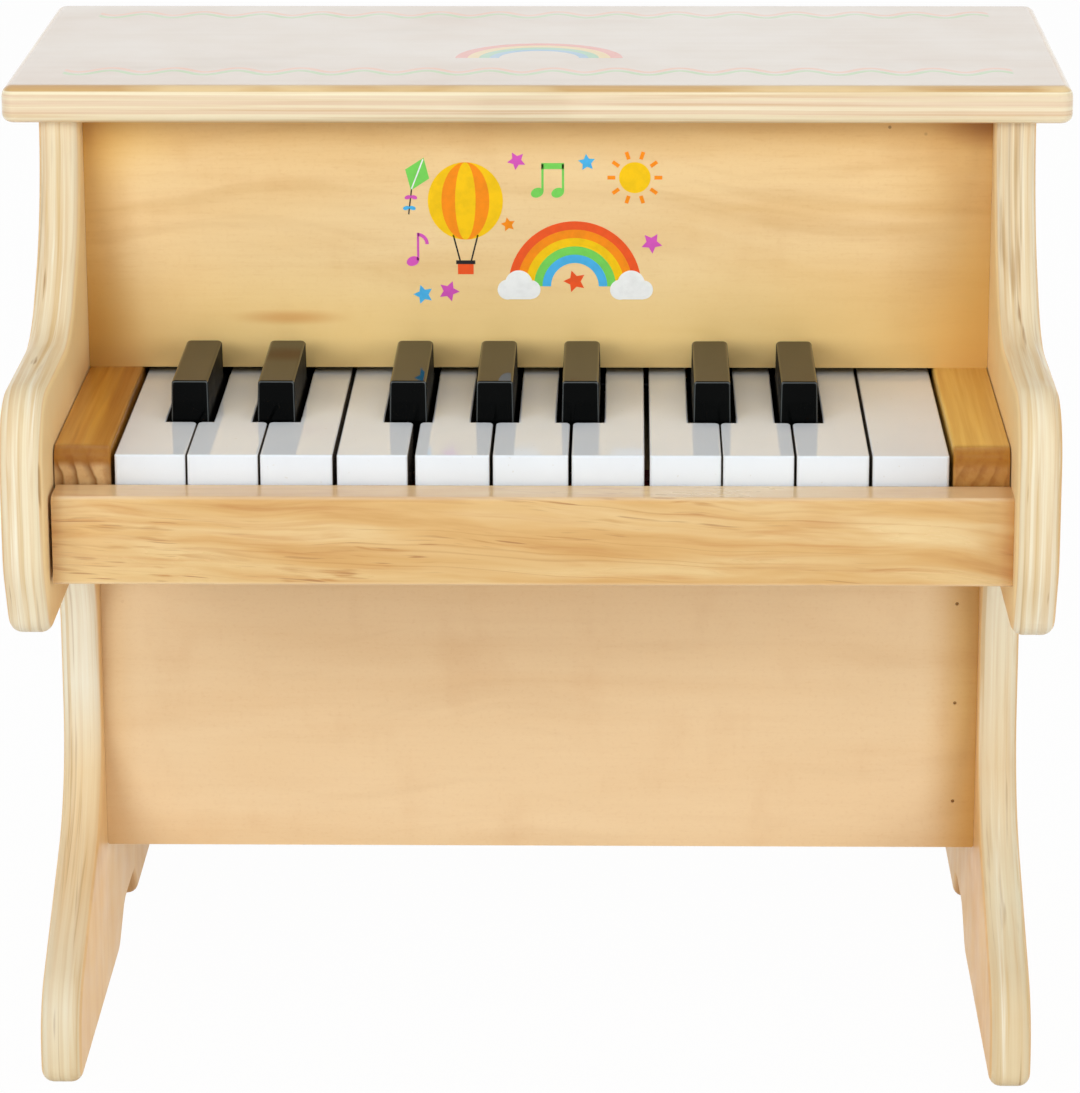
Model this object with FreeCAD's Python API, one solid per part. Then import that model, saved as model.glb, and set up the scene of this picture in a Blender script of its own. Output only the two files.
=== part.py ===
import FreeCAD, Part
import math
import os
from FreeCAD import Vector

# Toy upright piano in plywood and pine, with working keys, hammers and tone rods.
# Millimetres. X runs along the keyboard, Y from the player to the back, Z up from the floor.
# While modelling, y = 0 is the front of the white keys and x = 0 the middle of the keyboard.
# On export the pieces move in Y only, so that the origin is under the middle of the whole piano.

# Keyboard
WHITE_PATTERN = "CDEFGABCDEF"
BLACK_OFFSET = {"C": -2.2, "D": 2.2, "F": -2.5, "G": 0.0, "A": 2.5}
KEY_PITCH = 21.0
KEY_THICKNESS = 15.0
KEY_SHOWN_LENGTH = 93.0
KEY_DIP = 5.5
WHITE_HEAD_LENGTH = 36.5
WHITE_CORNER_ROUND = 1.0
WHITE_SHOULDER_ROUND = 1.5
WHITE_EDGE_ROUND = 0.6
BLACK_EDGE_ROUND = 1.0
BLACK_BACK_ROUND = 1.5
BLACK_WIDTH = 10.8
BLACK_TOP_WIDTH = 10.4
BLACK_RISE = 11.4
BLACK_FRONT_SLOPE = 0.6
BLACK_FRONT_GAP = 1.4
BLACK_SIDE_GAP = 1.4
BLACK_BACK_GAP = 5.0

# The white keys were fitted by hand: each gap between two of them has its own width and drift.
GAP_WIDTHS = (0.4, 0.5, 1.1, 2.0, 0.8, 0.8, 1.4, 0.4, 0.6, 0.8)
GAP_DRIFTS = (-1.05, -1.9, -1.95, -1.7, -0.6, 0.2, 0.5, 0.25, -0.5, -0.7)
KEYBOARD_END_GAP = 1.0

# Key action
AXLE_RADIUS = 2.0
RUNNING_CLEARANCE = 0.05
GLUE_CLEARANCE = 0.03
CONTACT_GAP = 0.3
PIVOT_SETBACK = 19.0
PIVOT_BELOW_KEY_TOP = 8.0
TAIL_ARM = 72.0
TAIL_THICKNESS = 7.0
TAIL_SHOULDER = 10.0
HAMMER_ARM = 13.0
HAMMER_THICKNESS = 5.0
HAMMER_HUB_RADIUS = 4.5
HAMMER_HUB_WIDTH = 8.0
HAMMER_TOE_RADIUS = 2.0
HAMMER_SHANK_ROOT = 5.0
HAMMER_SHANK_TIP = 3.2
HAMMER_HEAD_RADIUS = 4.5
HAMMER_HEAD_LENGTH = 10.0
HAMMER_HEAD_CHAMFER = 1.2
HAMMER_STRIKE_GAP = 0.5
AXLE_SEAT = 10.0

# Felt and rest rail under the keys
STOP_FELT_FRONT = 42.0
STOP_FELT_DEPTH = 12.0
REST_RAIL_DEPTH = 12.0
REST_RAIL_BEFORE_TOE = 10.0
REST_FELT_THICKNESS = 1.2
RAIL_END_GAP = 1.0

# Tone rods
ROD_RADIUS = 1.4
ROD_SEAT = 10.0
ROD_FLOOR_GAP = 8.0
STRIKE_BELOW_BLOCK = 8.0
TONE_BLOCK_DEPTH = 14.0
TONE_BLOCK_HEIGHT = 16.0
TONE_BLOCK_END = 12.0
TONE_BLOCK_CHAMFER = 3.0
TONE_BLOCK_BELOW_LID = 6.0
SEMITONES_PER_HALF_LENGTH = 24.0

# Case. The action's height, from the tops of the white keys to the lid, is what hammers and rods need.
PLY = 12.0
PLY_EDGE_ROUND = 3.5
CASE_HEIGHT = 285.4
ACTION_HEIGHT = 77.4
LID_THICKNESS = 11.0
LID_SIDE_OVERHANG = 10.0
LID_FRONT_OVERHANG = 5.2
LID_BACK_OVERHANG = 1.0
LID_CORNER_ROUND = 4.0
LID_TOP_ROUND = 3.5
LID_BOTTOM_ROUND = 2.5
KEY_BLOCK_WIDTH = 16.0
KEY_BLOCK_SIDE_GAP = 0.35
KEY_BLOCK_RISE = 2.0
KEY_BLOCK_ROUND = 3.5
KEY_BLOCK_EASE = 0.8
KEY_BED_THICKNESS = 10.8
KEY_BED_DROP = 7.0
KEYSLIP_THICKNESS = 13.0
KEYSLIP_HEIGHT = 25.0
KEYSLIP_DROP = 0.4
KEYSLIP_GAP = 1.4
KEYSLIP_LEFT_GAP = 0.9
KEYSLIP_RIGHT_GAP = 0.04
KEYSLIP_TOP_ROUND = 1.6
KEYSLIP_BOTTOM_ROUND = 0.8
UPPER_PANEL_THICKNESS = 8.0
LOWER_PANEL_THICKNESS = 6.0
LOWER_PANEL_SETBACK = 10.0
LOWER_PANEL_BOTTOM_Z = 45.7
LOWER_PANEL_CORNER = 0.6
PANEL_SIDE_GAP = 0.04
CLEAT = 12.0
CLEAT_ABOVE_PANEL_BOTTOM = 8.0
BACK_PANEL_THICKNESS = 4.0
BACK_PANEL_INSET = 4.5

# Side panel outline
ARM_PAST_KEYSLIP = 10.1
ARM_RISE = 21.5
ARM_DROP = 15.7
ARM_NOSE_ROUND = 20.0
ARM_CHIN_HEIGHT = 21.0
ARM_CHIN_DEPTH = 10.5
ARM_CHIN_ROUND = 22.0
ARM_LOBE_ROUND = 10.0
UPPER_REVEAL = 8.5
SCROLL_DEPTH = 32.5
SCROLL_HEIGHT = 31.5
SCROLL_TOP_ROUND = 55.0
SCROLL_FOOT_ROUND = 35.0
LOWER_REVEAL = 5.4
KNEE_ROUND = 34.0
FOOT_REACH = 78.0
FOOT_SHOULDER_Z = 66.7
FOOT_SHOULDER_ROUND = 40.0
TOE_Z = 24.8
TOE_ROUND = 25.0
FOOT_CORNER_ROUND = 6.0
HEEL_REACH = 11.0
HEEL_SHOULDER_Z = 50.0
HEEL_SHOULDER_ROUND = 60.0
HEEL_Z = 18.0
HEEL_ROUND = 30.0
REAR_FOOT_LENGTH = 48.4
ARCH_HEIGHT = 9.5
ARCH_STEP = 8.0
ARCH_FLAT = 29.0
ARCH_RAMP = 17.0
ARCH_RAMP_ROUND = 16.0
ARCH_STEP_ROUND = 4.5

# Fasteners
DOWEL_RADIUS = 2.5
LID_DOWEL_IN_LID = 7.0
LID_DOWEL_IN_SIDE = 13.0
LID_DOWEL_FROM_EDGE = 28.0
BED_DOWEL_IN_SIDE = 8.0
BED_DOWEL_IN_BED = 14.0
BED_DOWEL_FROM_EDGE = 30.0
BRAD_RADIUS = 0.5
BRAD_LENGTH = 14.0
BRAD_SINK = 0.5
BRAD_FROM_EDGE = 6.6
BRAD_SPACING = 31.4
BRAD_ABOVE_PANEL_BOTTOM = 14.9
BRAD_BELOW_PANEL_TOP = 8.0
SCREW_RADIUS = 1.5
SCREW_LENGTH = 14.0
SCREW_HEAD_RADIUS = 3.2
SCREW_HEAD_HEIGHT = 2.0
SCREW_HEAD_CHAMFER = 1.0
BED_SCREW_SPACING = 95.0
BLOCK_SCREW_SPACING = 85.0

# Places that follow from the sizes above, along X
WHITE_COUNT = len(WHITE_PATTERN)
KEYBOARD_WIDTH = KEY_PITCH * WHITE_COUNT
BLOCK_INNER_X = KEYBOARD_WIDTH / 2 + KEYBOARD_END_GAP
SIDE_INNER_X = BLOCK_INNER_X + KEY_BLOCK_WIDTH
SIDE_OUTER_X = SIDE_INNER_X + PLY
LID_HALF_WIDTH = SIDE_OUTER_X + LID_SIDE_OVERHANG
PANEL_SPREAD = (PANEL_SIDE_GAP - SIDE_INNER_X, SIDE_INNER_X - PANEL_SIDE_GAP)

# Heights, from the lid down to the key bed
LID_BOTTOM_Z = CASE_HEIGHT - LID_THICKNESS
KEY_TOP_Z = LID_BOTTOM_Z - ACTION_HEIGHT
KEY_BOTTOM_Z = KEY_TOP_Z - KEY_THICKNESS
BED_TOP_Z = KEY_BOTTOM_Z - KEY_BED_DROP
BED_BOTTOM_Z = BED_TOP_Z - KEY_BED_THICKNESS
BLOCK_TOP_Z = KEY_TOP_Z + KEY_BLOCK_RISE
PIVOT_Z = KEY_TOP_Z - PIVOT_BELOW_KEY_TOP
TAIL_TOP_Z = KEY_BOTTOM_Z + TAIL_THICKNESS
REST_FELT_TOP_Z = KEY_BOTTOM_Z - CONTACT_GAP
REST_FELT_BOTTOM_Z = REST_FELT_TOP_Z - REST_FELT_THICKNESS
HAMMER_Z = TAIL_TOP_Z + CONTACT_GAP + HAMMER_TOE_RADIUS
TONE_BLOCK_TOP_Z = LID_BOTTOM_Z - TONE_BLOCK_BELOW_LID
TONE_BLOCK_BOTTOM_Z = TONE_BLOCK_TOP_Z - TONE_BLOCK_HEIGHT
HAMMER_REACH = TONE_BLOCK_BOTTOM_Z - STRIKE_BELOW_BLOCK - HAMMER_Z

# Places from front to back
PANEL_FRONT_Y = KEY_SHOWN_LENGTH
PANEL_BACK_Y = PANEL_FRONT_Y + UPPER_PANEL_THICKNESS
PIVOT_Y = PANEL_FRONT_Y + PIVOT_SETBACK
TOE_Y = PIVOT_Y + TAIL_ARM
REST_FRONT_Y = TOE_Y - REST_RAIL_BEFORE_TOE - REST_RAIL_DEPTH
HAMMER_Y = TOE_Y + HAMMER_ARM
ROD_Y = HAMMER_Y + HAMMER_HEAD_LENGTH / 2 + HAMMER_STRIKE_GAP + ROD_RADIUS
BACK_PANEL_Y = ROD_Y + TONE_BLOCK_DEPTH / 2
SCREW_FACE_Y = BACK_PANEL_Y + BACK_PANEL_THICKNESS
SIDE_BACK_Y = SCREW_FACE_Y + BACK_PANEL_INSET
HEEL_Y = SIDE_BACK_Y + HEEL_REACH
LID_BACK_Y = SIDE_BACK_Y + LID_BACK_OVERHANG
UPPER_EDGE_Y = PANEL_FRONT_Y - UPPER_REVEAL
LID_FRONT_Y = UPPER_EDGE_Y - LID_FRONT_OVERHANG
KEYSLIP_BACK_Y = -KEYSLIP_GAP
KEYSLIP_FRONT_Y = KEYSLIP_BACK_Y - KEYSLIP_THICKNESS
ARM_FRONT_Y = KEYSLIP_FRONT_Y - ARM_PAST_KEYSLIP
LOWER_PANEL_Y = PANEL_FRONT_Y + LOWER_PANEL_SETBACK
LEG_FRONT_Y = LOWER_PANEL_Y - LOWER_REVEAL
ORIGIN_SHIFT = Vector(0, -(ARM_FRONT_Y + HEEL_Y) / 2, 0)

# Motion
DIP_ANGLE = math.asin(KEY_DIP / PIVOT_Y)
STRIKE_ANGLE = DIP_ANGLE * TAIL_ARM / HAMMER_ARM

X_AXIS = Vector(1, 0, 0)
Y_AXIS = Vector(0, 1, 0)
Z_AXIS = Vector(0, 0, 1)

# Two places nearer than this are the same place
SAME_PLACE = 1e-4
SHORTEST_RUN = 1e-6


def block(x_range, y_range, z_range):
    """Box between the two ends given along each axis."""
    size = [span[1] - span[0] for span in (x_range, y_range, z_range)]
    return Part.makeBox(*size, Vector(x_range[0], y_range[0], z_range[0]))


def rod(start, end, radius):
    """Round bar from one point to another."""
    along = end - start
    return Part.makeCylinder(radius, along.Length, start, along)


def outline(corners, to_point):
    """Face inside straight runs through (u, v, radius) corners, with a tangent arc where radius > 0.
    Two arcs that don't both fit on the run between them are drawn in until they do."""
    count = len(corners)
    points = [Vector(u, v, 0) for u, v, _ in corners]
    ahead = [points[(i + 1) % count] - points[i] for i in range(count)]
    half_angles = [ahead[i].getAngle(ahead[i - 1] * -1) / 2 for i in range(count)]
    runs = [corner[2] / math.tan(half) for corner, half in zip(corners, half_angles)]
    needed = [runs[i] + runs[(i + 1) % count] for i in range(count)]
    room = [side.Length / max(side.Length, need) for side, need in zip(ahead, needed)]
    stations = []
    for i, here in enumerate(points):
        fit = min(room[i - 1], room[i])
        radius = corners[i][2] * fit
        to_last = (points[i - 1] - here).normalize()
        to_next = (points[(i + 1) % count] - here).normalize()
        crown = (to_last + to_next).normalize() * (radius / math.sin(half_angles[i]) - radius)
        start = here + to_last * runs[i] * fit
        end = here + to_next * runs[i] * fit
        stations.append((start, here + crown, end, radius))
    edges = []
    for i, (start, middle, end, radius) in enumerate(stations):
        if radius > 0:
            edges.append(Part.Arc(to_point(start), to_point(middle), to_point(end)).toShape())
        next_start = stations[(i + 1) % count][0]
        if (next_start - end).Length > SHORTEST_RUN:
            edges.append(Part.LineSegment(to_point(end), to_point(next_start)).toShape())
    return Part.Face(Part.Wire(edges))


def in_side_view(point):
    """A (y, z) point on the plane x = 0."""
    return Vector(0, point.x, point.y)


def in_plan(point):
    """An (x, y) point on the plane z = 0."""
    return Vector(point.x, point.y, 0)


def edges_where(shape, test):
    """Edges of a shape whose box passes the test."""
    return [edge for edge in shape.Edges if test(edge.BoundBox)]


def flat_at(low, high, value):
    """True where a box is flat and lies at a value along one axis."""
    return abs(low - value) < SAME_PLACE and abs(high - value) < SAME_PLACE


def mirrored(shape):
    """The same piece for the other side of the piano."""
    return shape.mirror(Vector(0, 0, 0), X_AXIS)


# Where each gap between white keys lies, and the keys between the gaps
def gap_centres():
    """Middle of each gap between two white keys, left to right."""
    return [KEY_PITCH * (i + 1) - KEYBOARD_WIDTH / 2 + drift for i, drift in enumerate(GAP_DRIFTS)]


def black_centres():
    """Middle of each black key, by the number of the gap that it stands over."""
    centres = {}
    for i, middle in enumerate(gap_centres()):
        note = WHITE_PATTERN[i]
        if note in BLACK_OFFSET:
            centres[i] = middle + BLACK_OFFSET[note]
    return centres


def white_edges():
    """Left and right edge of each white key's head and of its neck, which the black keys narrow."""
    gaps = gap_centres()
    blacks = black_centres()
    reach = BLACK_WIDTH / 2 + BLACK_SIDE_GAP
    edges = []
    for i in range(WHITE_COUNT):
        left = -KEYBOARD_WIDTH / 2
        right = KEYBOARD_WIDTH / 2
        if i > 0:
            left = gaps[i - 1] + GAP_WIDTHS[i - 1] / 2
        if i < WHITE_COUNT - 1:
            right = gaps[i] - GAP_WIDTHS[i] / 2
        neck_left = blacks[i - 1] + reach if i - 1 in blacks else left
        neck_right = blacks[i] - reach if i in blacks else right
        edges.append((left, right, neck_left, neck_right))
    return edges


def lever_centres():
    """Middle of every key's tail, in the order of the scale."""
    middles = [(neck_left + neck_right) / 2 for _, _, neck_left, neck_right in white_edges()]
    middles.extend(black_centres().values())
    return sorted(middles)


# Keys
def finish_lever(key, left, right):
    """Thin a key's tail, which ends under its hammer's toe, and bore it for the axle."""
    shoulder_y = PIVOT_Y + TAIL_SHOULDER
    waste = block((left, right), (shoulder_y, TOE_Y), (TAIL_TOP_Z, KEY_TOP_Z))
    bore_ends = (Vector(left, PIVOT_Y, PIVOT_Z), Vector(right, PIVOT_Y, PIVOT_Z))
    return key.cut([waste, rod(*bore_ends, AXLE_RADIUS + RUNNING_CLEARANCE)])


def white_key(left, right, neck_left, neck_right):
    """White key: a wide head, and a neck that passes between the black keys."""
    corners = [(left, 0, WHITE_CORNER_ROUND), (right, 0, WHITE_CORNER_ROUND)]
    if neck_right < right:
        corners.append((right, WHITE_HEAD_LENGTH, WHITE_SHOULDER_ROUND))
        corners.append((neck_right, WHITE_HEAD_LENGTH, 0))
    corners.append((neck_right, TOE_Y, 0))
    corners.append((neck_left, TOE_Y, 0))
    if neck_left > left:
        corners.append((neck_left, WHITE_HEAD_LENGTH, 0))
        corners.append((left, WHITE_HEAD_LENGTH, WHITE_SHOULDER_ROUND))
    key = outline(corners, in_plan).extrude(Z_AXIS * KEY_THICKNESS)
    key.translate(Z_AXIS * KEY_BOTTOM_Z)
    key = finish_lever(key, left, right)
    top_edges = edges_where(key, lambda box: flat_at(box.ZMin, box.ZMax, KEY_TOP_Z)
                            and box.YMin < PIVOT_Y)
    return key.makeFillet(WHITE_EDGE_ROUND, top_edges)


def black_section(middle, half, front_y, z):
    """Level section of a black key's raised block, rounded at its back corners."""
    back_y = PANEL_FRONT_Y - BLACK_BACK_GAP
    corners = [(middle - half, front_y, 0), (middle + half, front_y, 0),
               (middle + half, back_y, BLACK_BACK_ROUND), (middle - half, back_y, BLACK_BACK_ROUND)]
    section = outline(corners, in_plan).OuterWire
    section.translate(Z_AXIS * z)
    return section


def black_key(middle):
    """Black key: a narrow lever under a raised, slightly tapered block."""
    half = BLACK_WIDTH / 2
    front_y = WHITE_HEAD_LENGTH + BLACK_FRONT_GAP
    lever = block((middle - half, middle + half), (front_y, TOE_Y), (KEY_BOTTOM_Z, KEY_TOP_Z))
    lever = finish_lever(lever, middle - half, middle + half)
    top_z = KEY_TOP_Z + BLACK_RISE
    top_front_y = front_y + BLACK_FRONT_SLOPE
    raised = Part.makeLoft([
        black_section(middle, half, front_y, KEY_TOP_Z),
        black_section(middle, BLACK_TOP_WIDTH / 2, top_front_y, top_z),
    ], True, True)
    key = lever.fuse(raised).removeSplitter()
    shown_edges = edges_where(key, lambda box: flat_at(box.ZMin, box.ZMax, top_z)
                              or (box.ZMin > KEY_TOP_Z - SAME_PLACE and box.YMax < top_front_y + SAME_PLACE
                                  and box.ZLength > BLACK_RISE / 2))
    return key.makeFillet(BLACK_EDGE_ROUND, shown_edges)


# Hammers
def hammer(middle):
    """Bell crank on its axle: a toe over the key's tail, and a shank with the head, which leans
    forward at rest by the angle that it swings through to the rod."""
    half = HAMMER_THICKNESS / 2
    half_hub = X_AXIS * HAMMER_HUB_WIDTH / 2
    pivot = Vector(0, HAMMER_Y, HAMMER_Z)
    hub = rod(pivot - half_hub, pivot + half_hub, HAMMER_HUB_RADIUS)
    toe_end = Vector(0, TOE_Y, HAMMER_Z)
    toe = rod(toe_end - X_AXIS * half, toe_end + X_AXIS * half, HAMMER_TOE_RADIUS)
    finger = block((-half, half), (TOE_Y, HAMMER_Y),
                   (HAMMER_Z - HAMMER_TOE_RADIUS, HAMMER_Z + HAMMER_TOE_RADIUS))
    head_z = HAMMER_Z + HAMMER_REACH
    shank_corners = [(HAMMER_Y - HAMMER_SHANK_ROOT / 2, HAMMER_Z, 0),
                     (HAMMER_Y + HAMMER_SHANK_ROOT / 2, HAMMER_Z, 0),
                     (HAMMER_Y + HAMMER_SHANK_TIP / 2, head_z, 0),
                     (HAMMER_Y - HAMMER_SHANK_TIP / 2, head_z, 0)]
    shank = outline(shank_corners, in_side_view).extrude(X_AXIS * HAMMER_THICKNESS)
    shank.translate(X_AXIS * -half)
    half_head = Y_AXIS * HAMMER_HEAD_LENGTH / 2
    head_middle = Vector(0, HAMMER_Y, head_z)
    head = rod(head_middle - half_head, head_middle + half_head, HAMMER_HEAD_RADIUS)
    rims = edges_where(head, lambda box: box.YLength < SAME_PLACE)
    head = head.makeChamfer(HAMMER_HEAD_CHAMFER, rims)
    for piece in (shank, head):
        piece.rotate(pivot, X_AXIS, math.degrees(STRIKE_ANGLE))
    bore = rod(pivot - half_hub, pivot + half_hub, AXLE_RADIUS + RUNNING_CLEARANCE)
    crank = hub.fuse([toe, finger, shank, head]).removeSplitter().cut(bore)
    crank.translate(X_AXIS * middle)
    return crank


# Axles, felts and rails of the action
def axle(y, z):
    """Steel axle that sits in both key blocks."""
    end_x = BLOCK_INNER_X + AXLE_SEAT
    return rod(Vector(-end_x, y, z), Vector(end_x, y, z), AXLE_RADIUS)


def action_strip(front_y, depth, bottom_z, top_z):
    """Strip across the key bed, between the key blocks."""
    half = BLOCK_INNER_X - RAIL_END_GAP
    return block((-half, half), (front_y, front_y + depth), (bottom_z, top_z))


def key_stop_felt():
    """Felt that stops a pressed key at the end of its dip."""
    drop = (PIVOT_Y - STOP_FELT_FRONT) * math.sin(DIP_ANGLE)
    return action_strip(STOP_FELT_FRONT, STOP_FELT_DEPTH, BED_TOP_Z, KEY_BOTTOM_Z - drop - CONTACT_GAP)


# Tone block and rods
def rod_length(step):
    """Rods shorten by the semitone: pitch goes with one over the length squared."""
    longest = TONE_BLOCK_BOTTOM_Z - BED_TOP_Z - ROD_FLOOR_GAP
    return longest * 2 ** (-step / SEMITONES_PER_HALF_LENGTH)


def tone_rods():
    """One round steel rod for each key, hanging from the tone block."""
    top_z = TONE_BLOCK_BOTTOM_Z + ROD_SEAT
    rods = []
    for step, x in enumerate(lever_centres()):
        low_z = TONE_BLOCK_BOTTOM_Z - rod_length(step)
        rods.append(rod(Vector(x, ROD_Y, low_z), Vector(x, ROD_Y, top_z), ROD_RADIUS))
    return Part.makeCompound(rods)


def tone_block_screw_places():
    """Where the screws through the back panel hold the tone block, above the seats of its rods."""
    z = (TONE_BLOCK_TOP_Z + TONE_BLOCK_BOTTOM_Z + ROD_SEAT) / 2
    return [Vector(BLOCK_SCREW_SPACING * step, SCREW_FACE_Y, z) for step in (-1, 0, 1)]


def tone_block():
    """Cast bar with a chamfered front, drilled from below for the rods and from behind for its screws."""
    centres = lever_centres()
    left = centres[0] - TONE_BLOCK_END
    right = centres[-1] + TONE_BLOCK_END
    front_y = BACK_PANEL_Y - TONE_BLOCK_DEPTH
    bar = block((left, right), (front_y, BACK_PANEL_Y), (TONE_BLOCK_BOTTOM_Z, TONE_BLOCK_TOP_Z))
    front_edge = edges_where(bar, lambda box: flat_at(box.YMin, box.YMax, front_y)
                             and flat_at(box.ZMin, box.ZMax, TONE_BLOCK_TOP_Z))
    bar = bar.makeChamfer(TONE_BLOCK_CHAMFER, front_edge)
    seats = [rod(Vector(x, ROD_Y, TONE_BLOCK_BOTTOM_Z), Vector(x, ROD_Y, TONE_BLOCK_BOTTOM_Z + ROD_SEAT),
                 ROD_RADIUS + GLUE_CLEARANCE) for x in centres]
    return bar.cut(seats + [screw_hole(place) for place in tone_block_screw_places()])


# Fasteners
def screw_hole(place):
    """Hole for a screw that is driven forward from the back panel's rear face."""
    return rod(place, place - Y_AXIS * SCREW_LENGTH, SCREW_RADIUS + GLUE_CLEARANCE)


def screw(place):
    """Round-headed screw with its head on the back panel."""
    head = rod(place, place + Y_AXIS * SCREW_HEAD_HEIGHT, SCREW_HEAD_RADIUS)
    rim = edges_where(head, lambda box: flat_at(box.YMin, box.YMax, place.y + SCREW_HEAD_HEIGHT))
    head = head.makeChamfer(SCREW_HEAD_CHAMFER, rim)
    shank = rod(place, place - Y_AXIS * SCREW_LENGTH, SCREW_RADIUS)
    return head.fuse(shank).removeSplitter()


def back_panel_screw_places():
    """Screws through the back panel into the key bed's edge and the key blocks' ends."""
    bed_z = (BED_TOP_Z + BED_BOTTOM_Z) / 2
    block_x = BLOCK_INNER_X + KEY_BLOCK_WIDTH / 2
    block_z = (BED_TOP_Z + BLOCK_TOP_Z) / 2
    places = [Vector(BED_SCREW_SPACING * step, SCREW_FACE_Y, bed_z) for step in (-1, 0, 1)]
    places.extend(Vector(side * block_x, SCREW_FACE_Y, block_z) for side in (-1, 1))
    return places


def brad_ends():
    """Front and back end of each brad that nails the lower panel to its cleats, up its whole height."""
    front_y = LOWER_PANEL_Y + BRAD_SINK
    lowest_z = LOWER_PANEL_BOTTOM_Z + BRAD_ABOVE_PANEL_BOTTOM
    steps = int((BED_BOTTOM_Z - BRAD_BELOW_PANEL_TOP - lowest_z) / BRAD_SPACING)
    ends = []
    for side in (-1, 1):
        for step in range(steps + 1):
            z = lowest_z + BRAD_SPACING * step
            front = Vector(side * (SIDE_INNER_X - BRAD_FROM_EDGE), front_y, z)
            ends.append((front, front + Y_AXIS * BRAD_LENGTH))
    return ends


def brad_holes():
    """Holes that the brads make, from the panel's face to their tips."""
    return [rod(front - Y_AXIS * BRAD_SINK, tip, BRAD_RADIUS + GLUE_CLEARANCE) for front, tip in brad_ends()]


def dowel_ends():
    """Ends of the dowels that hold the lid and the key bed to the side panels."""
    ends = []
    for side in (-1, 1):
        lid_x = side * (SIDE_INNER_X + PLY / 2)
        for y in (UPPER_EDGE_Y + LID_DOWEL_FROM_EDGE, SIDE_BACK_Y - LID_DOWEL_FROM_EDGE):
            ends.append((Vector(lid_x, y, LID_BOTTOM_Z - LID_DOWEL_IN_SIDE),
                         Vector(lid_x, y, LID_BOTTOM_Z + LID_DOWEL_IN_LID)))
        bed_z = (BED_TOP_Z + BED_BOTTOM_Z) / 2
        for y in (KEYSLIP_BACK_Y + BED_DOWEL_FROM_EDGE, BACK_PANEL_Y - BED_DOWEL_FROM_EDGE):
            ends.append((Vector(side * (SIDE_INNER_X - BED_DOWEL_IN_BED), y, bed_z),
                         Vector(side * (SIDE_INNER_X + BED_DOWEL_IN_SIDE), y, bed_z)))
    return ends


def dowel_holes():
    """Holes for all the dowels."""
    return [rod(start, end, DOWEL_RADIUS + GLUE_CLEARANCE) for start, end in dowel_ends()]


# Case
def side_panel():
    """Right-hand side: upright, arm and foot cut from one board, with rounded edges."""
    arm_top = KEY_TOP_Z + ARM_RISE
    arm_bottom = BED_BOTTOM_Z - ARM_DROP
    rear_foot_y = HEEL_Y - REAR_FOOT_LENGTH
    arch_back_y = rear_foot_y - ARCH_STEP
    arch_front_y = arch_back_y - ARCH_FLAT
    toe_y = LEG_FRONT_Y - FOOT_REACH
    corners = [
        (UPPER_EDGE_Y, LID_BOTTOM_Z, 0),
        (UPPER_EDGE_Y, arm_top + SCROLL_HEIGHT, SCROLL_TOP_ROUND),
        (UPPER_EDGE_Y - SCROLL_DEPTH, arm_top, SCROLL_FOOT_ROUND),
        (ARM_FRONT_Y, arm_top, ARM_NOSE_ROUND),
        (ARM_FRONT_Y, arm_bottom + ARM_CHIN_HEIGHT, ARM_CHIN_ROUND),
        (ARM_FRONT_Y + ARM_CHIN_DEPTH, arm_bottom, ARM_LOBE_ROUND),
        (LEG_FRONT_Y, arm_bottom, KNEE_ROUND),
        (LEG_FRONT_Y, FOOT_SHOULDER_Z, FOOT_SHOULDER_ROUND),
        (toe_y, TOE_Z, TOE_ROUND),
        (toe_y, 0, FOOT_CORNER_ROUND),
        (arch_front_y - ARCH_RAMP, 0, ARCH_RAMP_ROUND),
        (arch_front_y, ARCH_HEIGHT, ARCH_RAMP_ROUND),
        (arch_back_y, ARCH_HEIGHT, ARCH_STEP_ROUND),
        (rear_foot_y, 0, ARCH_STEP_ROUND),
        (HEEL_Y, 0, FOOT_CORNER_ROUND),
        (HEEL_Y, HEEL_Z, HEEL_ROUND),
        (SIDE_BACK_Y, HEEL_SHOULDER_Z, HEEL_SHOULDER_ROUND),
        (SIDE_BACK_Y, LID_BOTTOM_Z, 0),
    ]
    board = outline(corners, in_side_view).extrude(X_AXIS * PLY)
    board.translate(X_AXIS * SIDE_INNER_X)
    rims = edges_where(board, lambda box: box.XLength < SAME_PLACE and box.ZMin < LID_BOTTOM_Z - SAME_PLACE)
    board = board.makeFillet(PLY_EDGE_ROUND, rims)
    return board.cut(dowel_holes())


def lid():
    """Top board, rounded at its corners and along its edges."""
    spread = (-LID_HALF_WIDTH, LID_HALF_WIDTH)
    board = block(spread, (LID_FRONT_Y, LID_BACK_Y), (LID_BOTTOM_Z, CASE_HEIGHT))
    uprights = edges_where(board, lambda box: box.ZLength > LID_THICKNESS / 2)
    board = board.makeFillet(LID_CORNER_ROUND, uprights)
    for z, radius in ((CASE_HEIGHT, LID_TOP_ROUND), (LID_BOTTOM_Z, LID_BOTTOM_ROUND)):
        rim = edges_where(board, lambda box: flat_at(box.ZMin, box.ZMax, z))
        board = board.makeFillet(radius, rim)
    return board.cut(dowel_holes())


def upper_front_panel():
    """Panel above the keys, standing on the key blocks."""
    return block(PANEL_SPREAD, (PANEL_FRONT_Y, PANEL_BACK_Y), (BLOCK_TOP_Z, LID_BOTTOM_Z))


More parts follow.
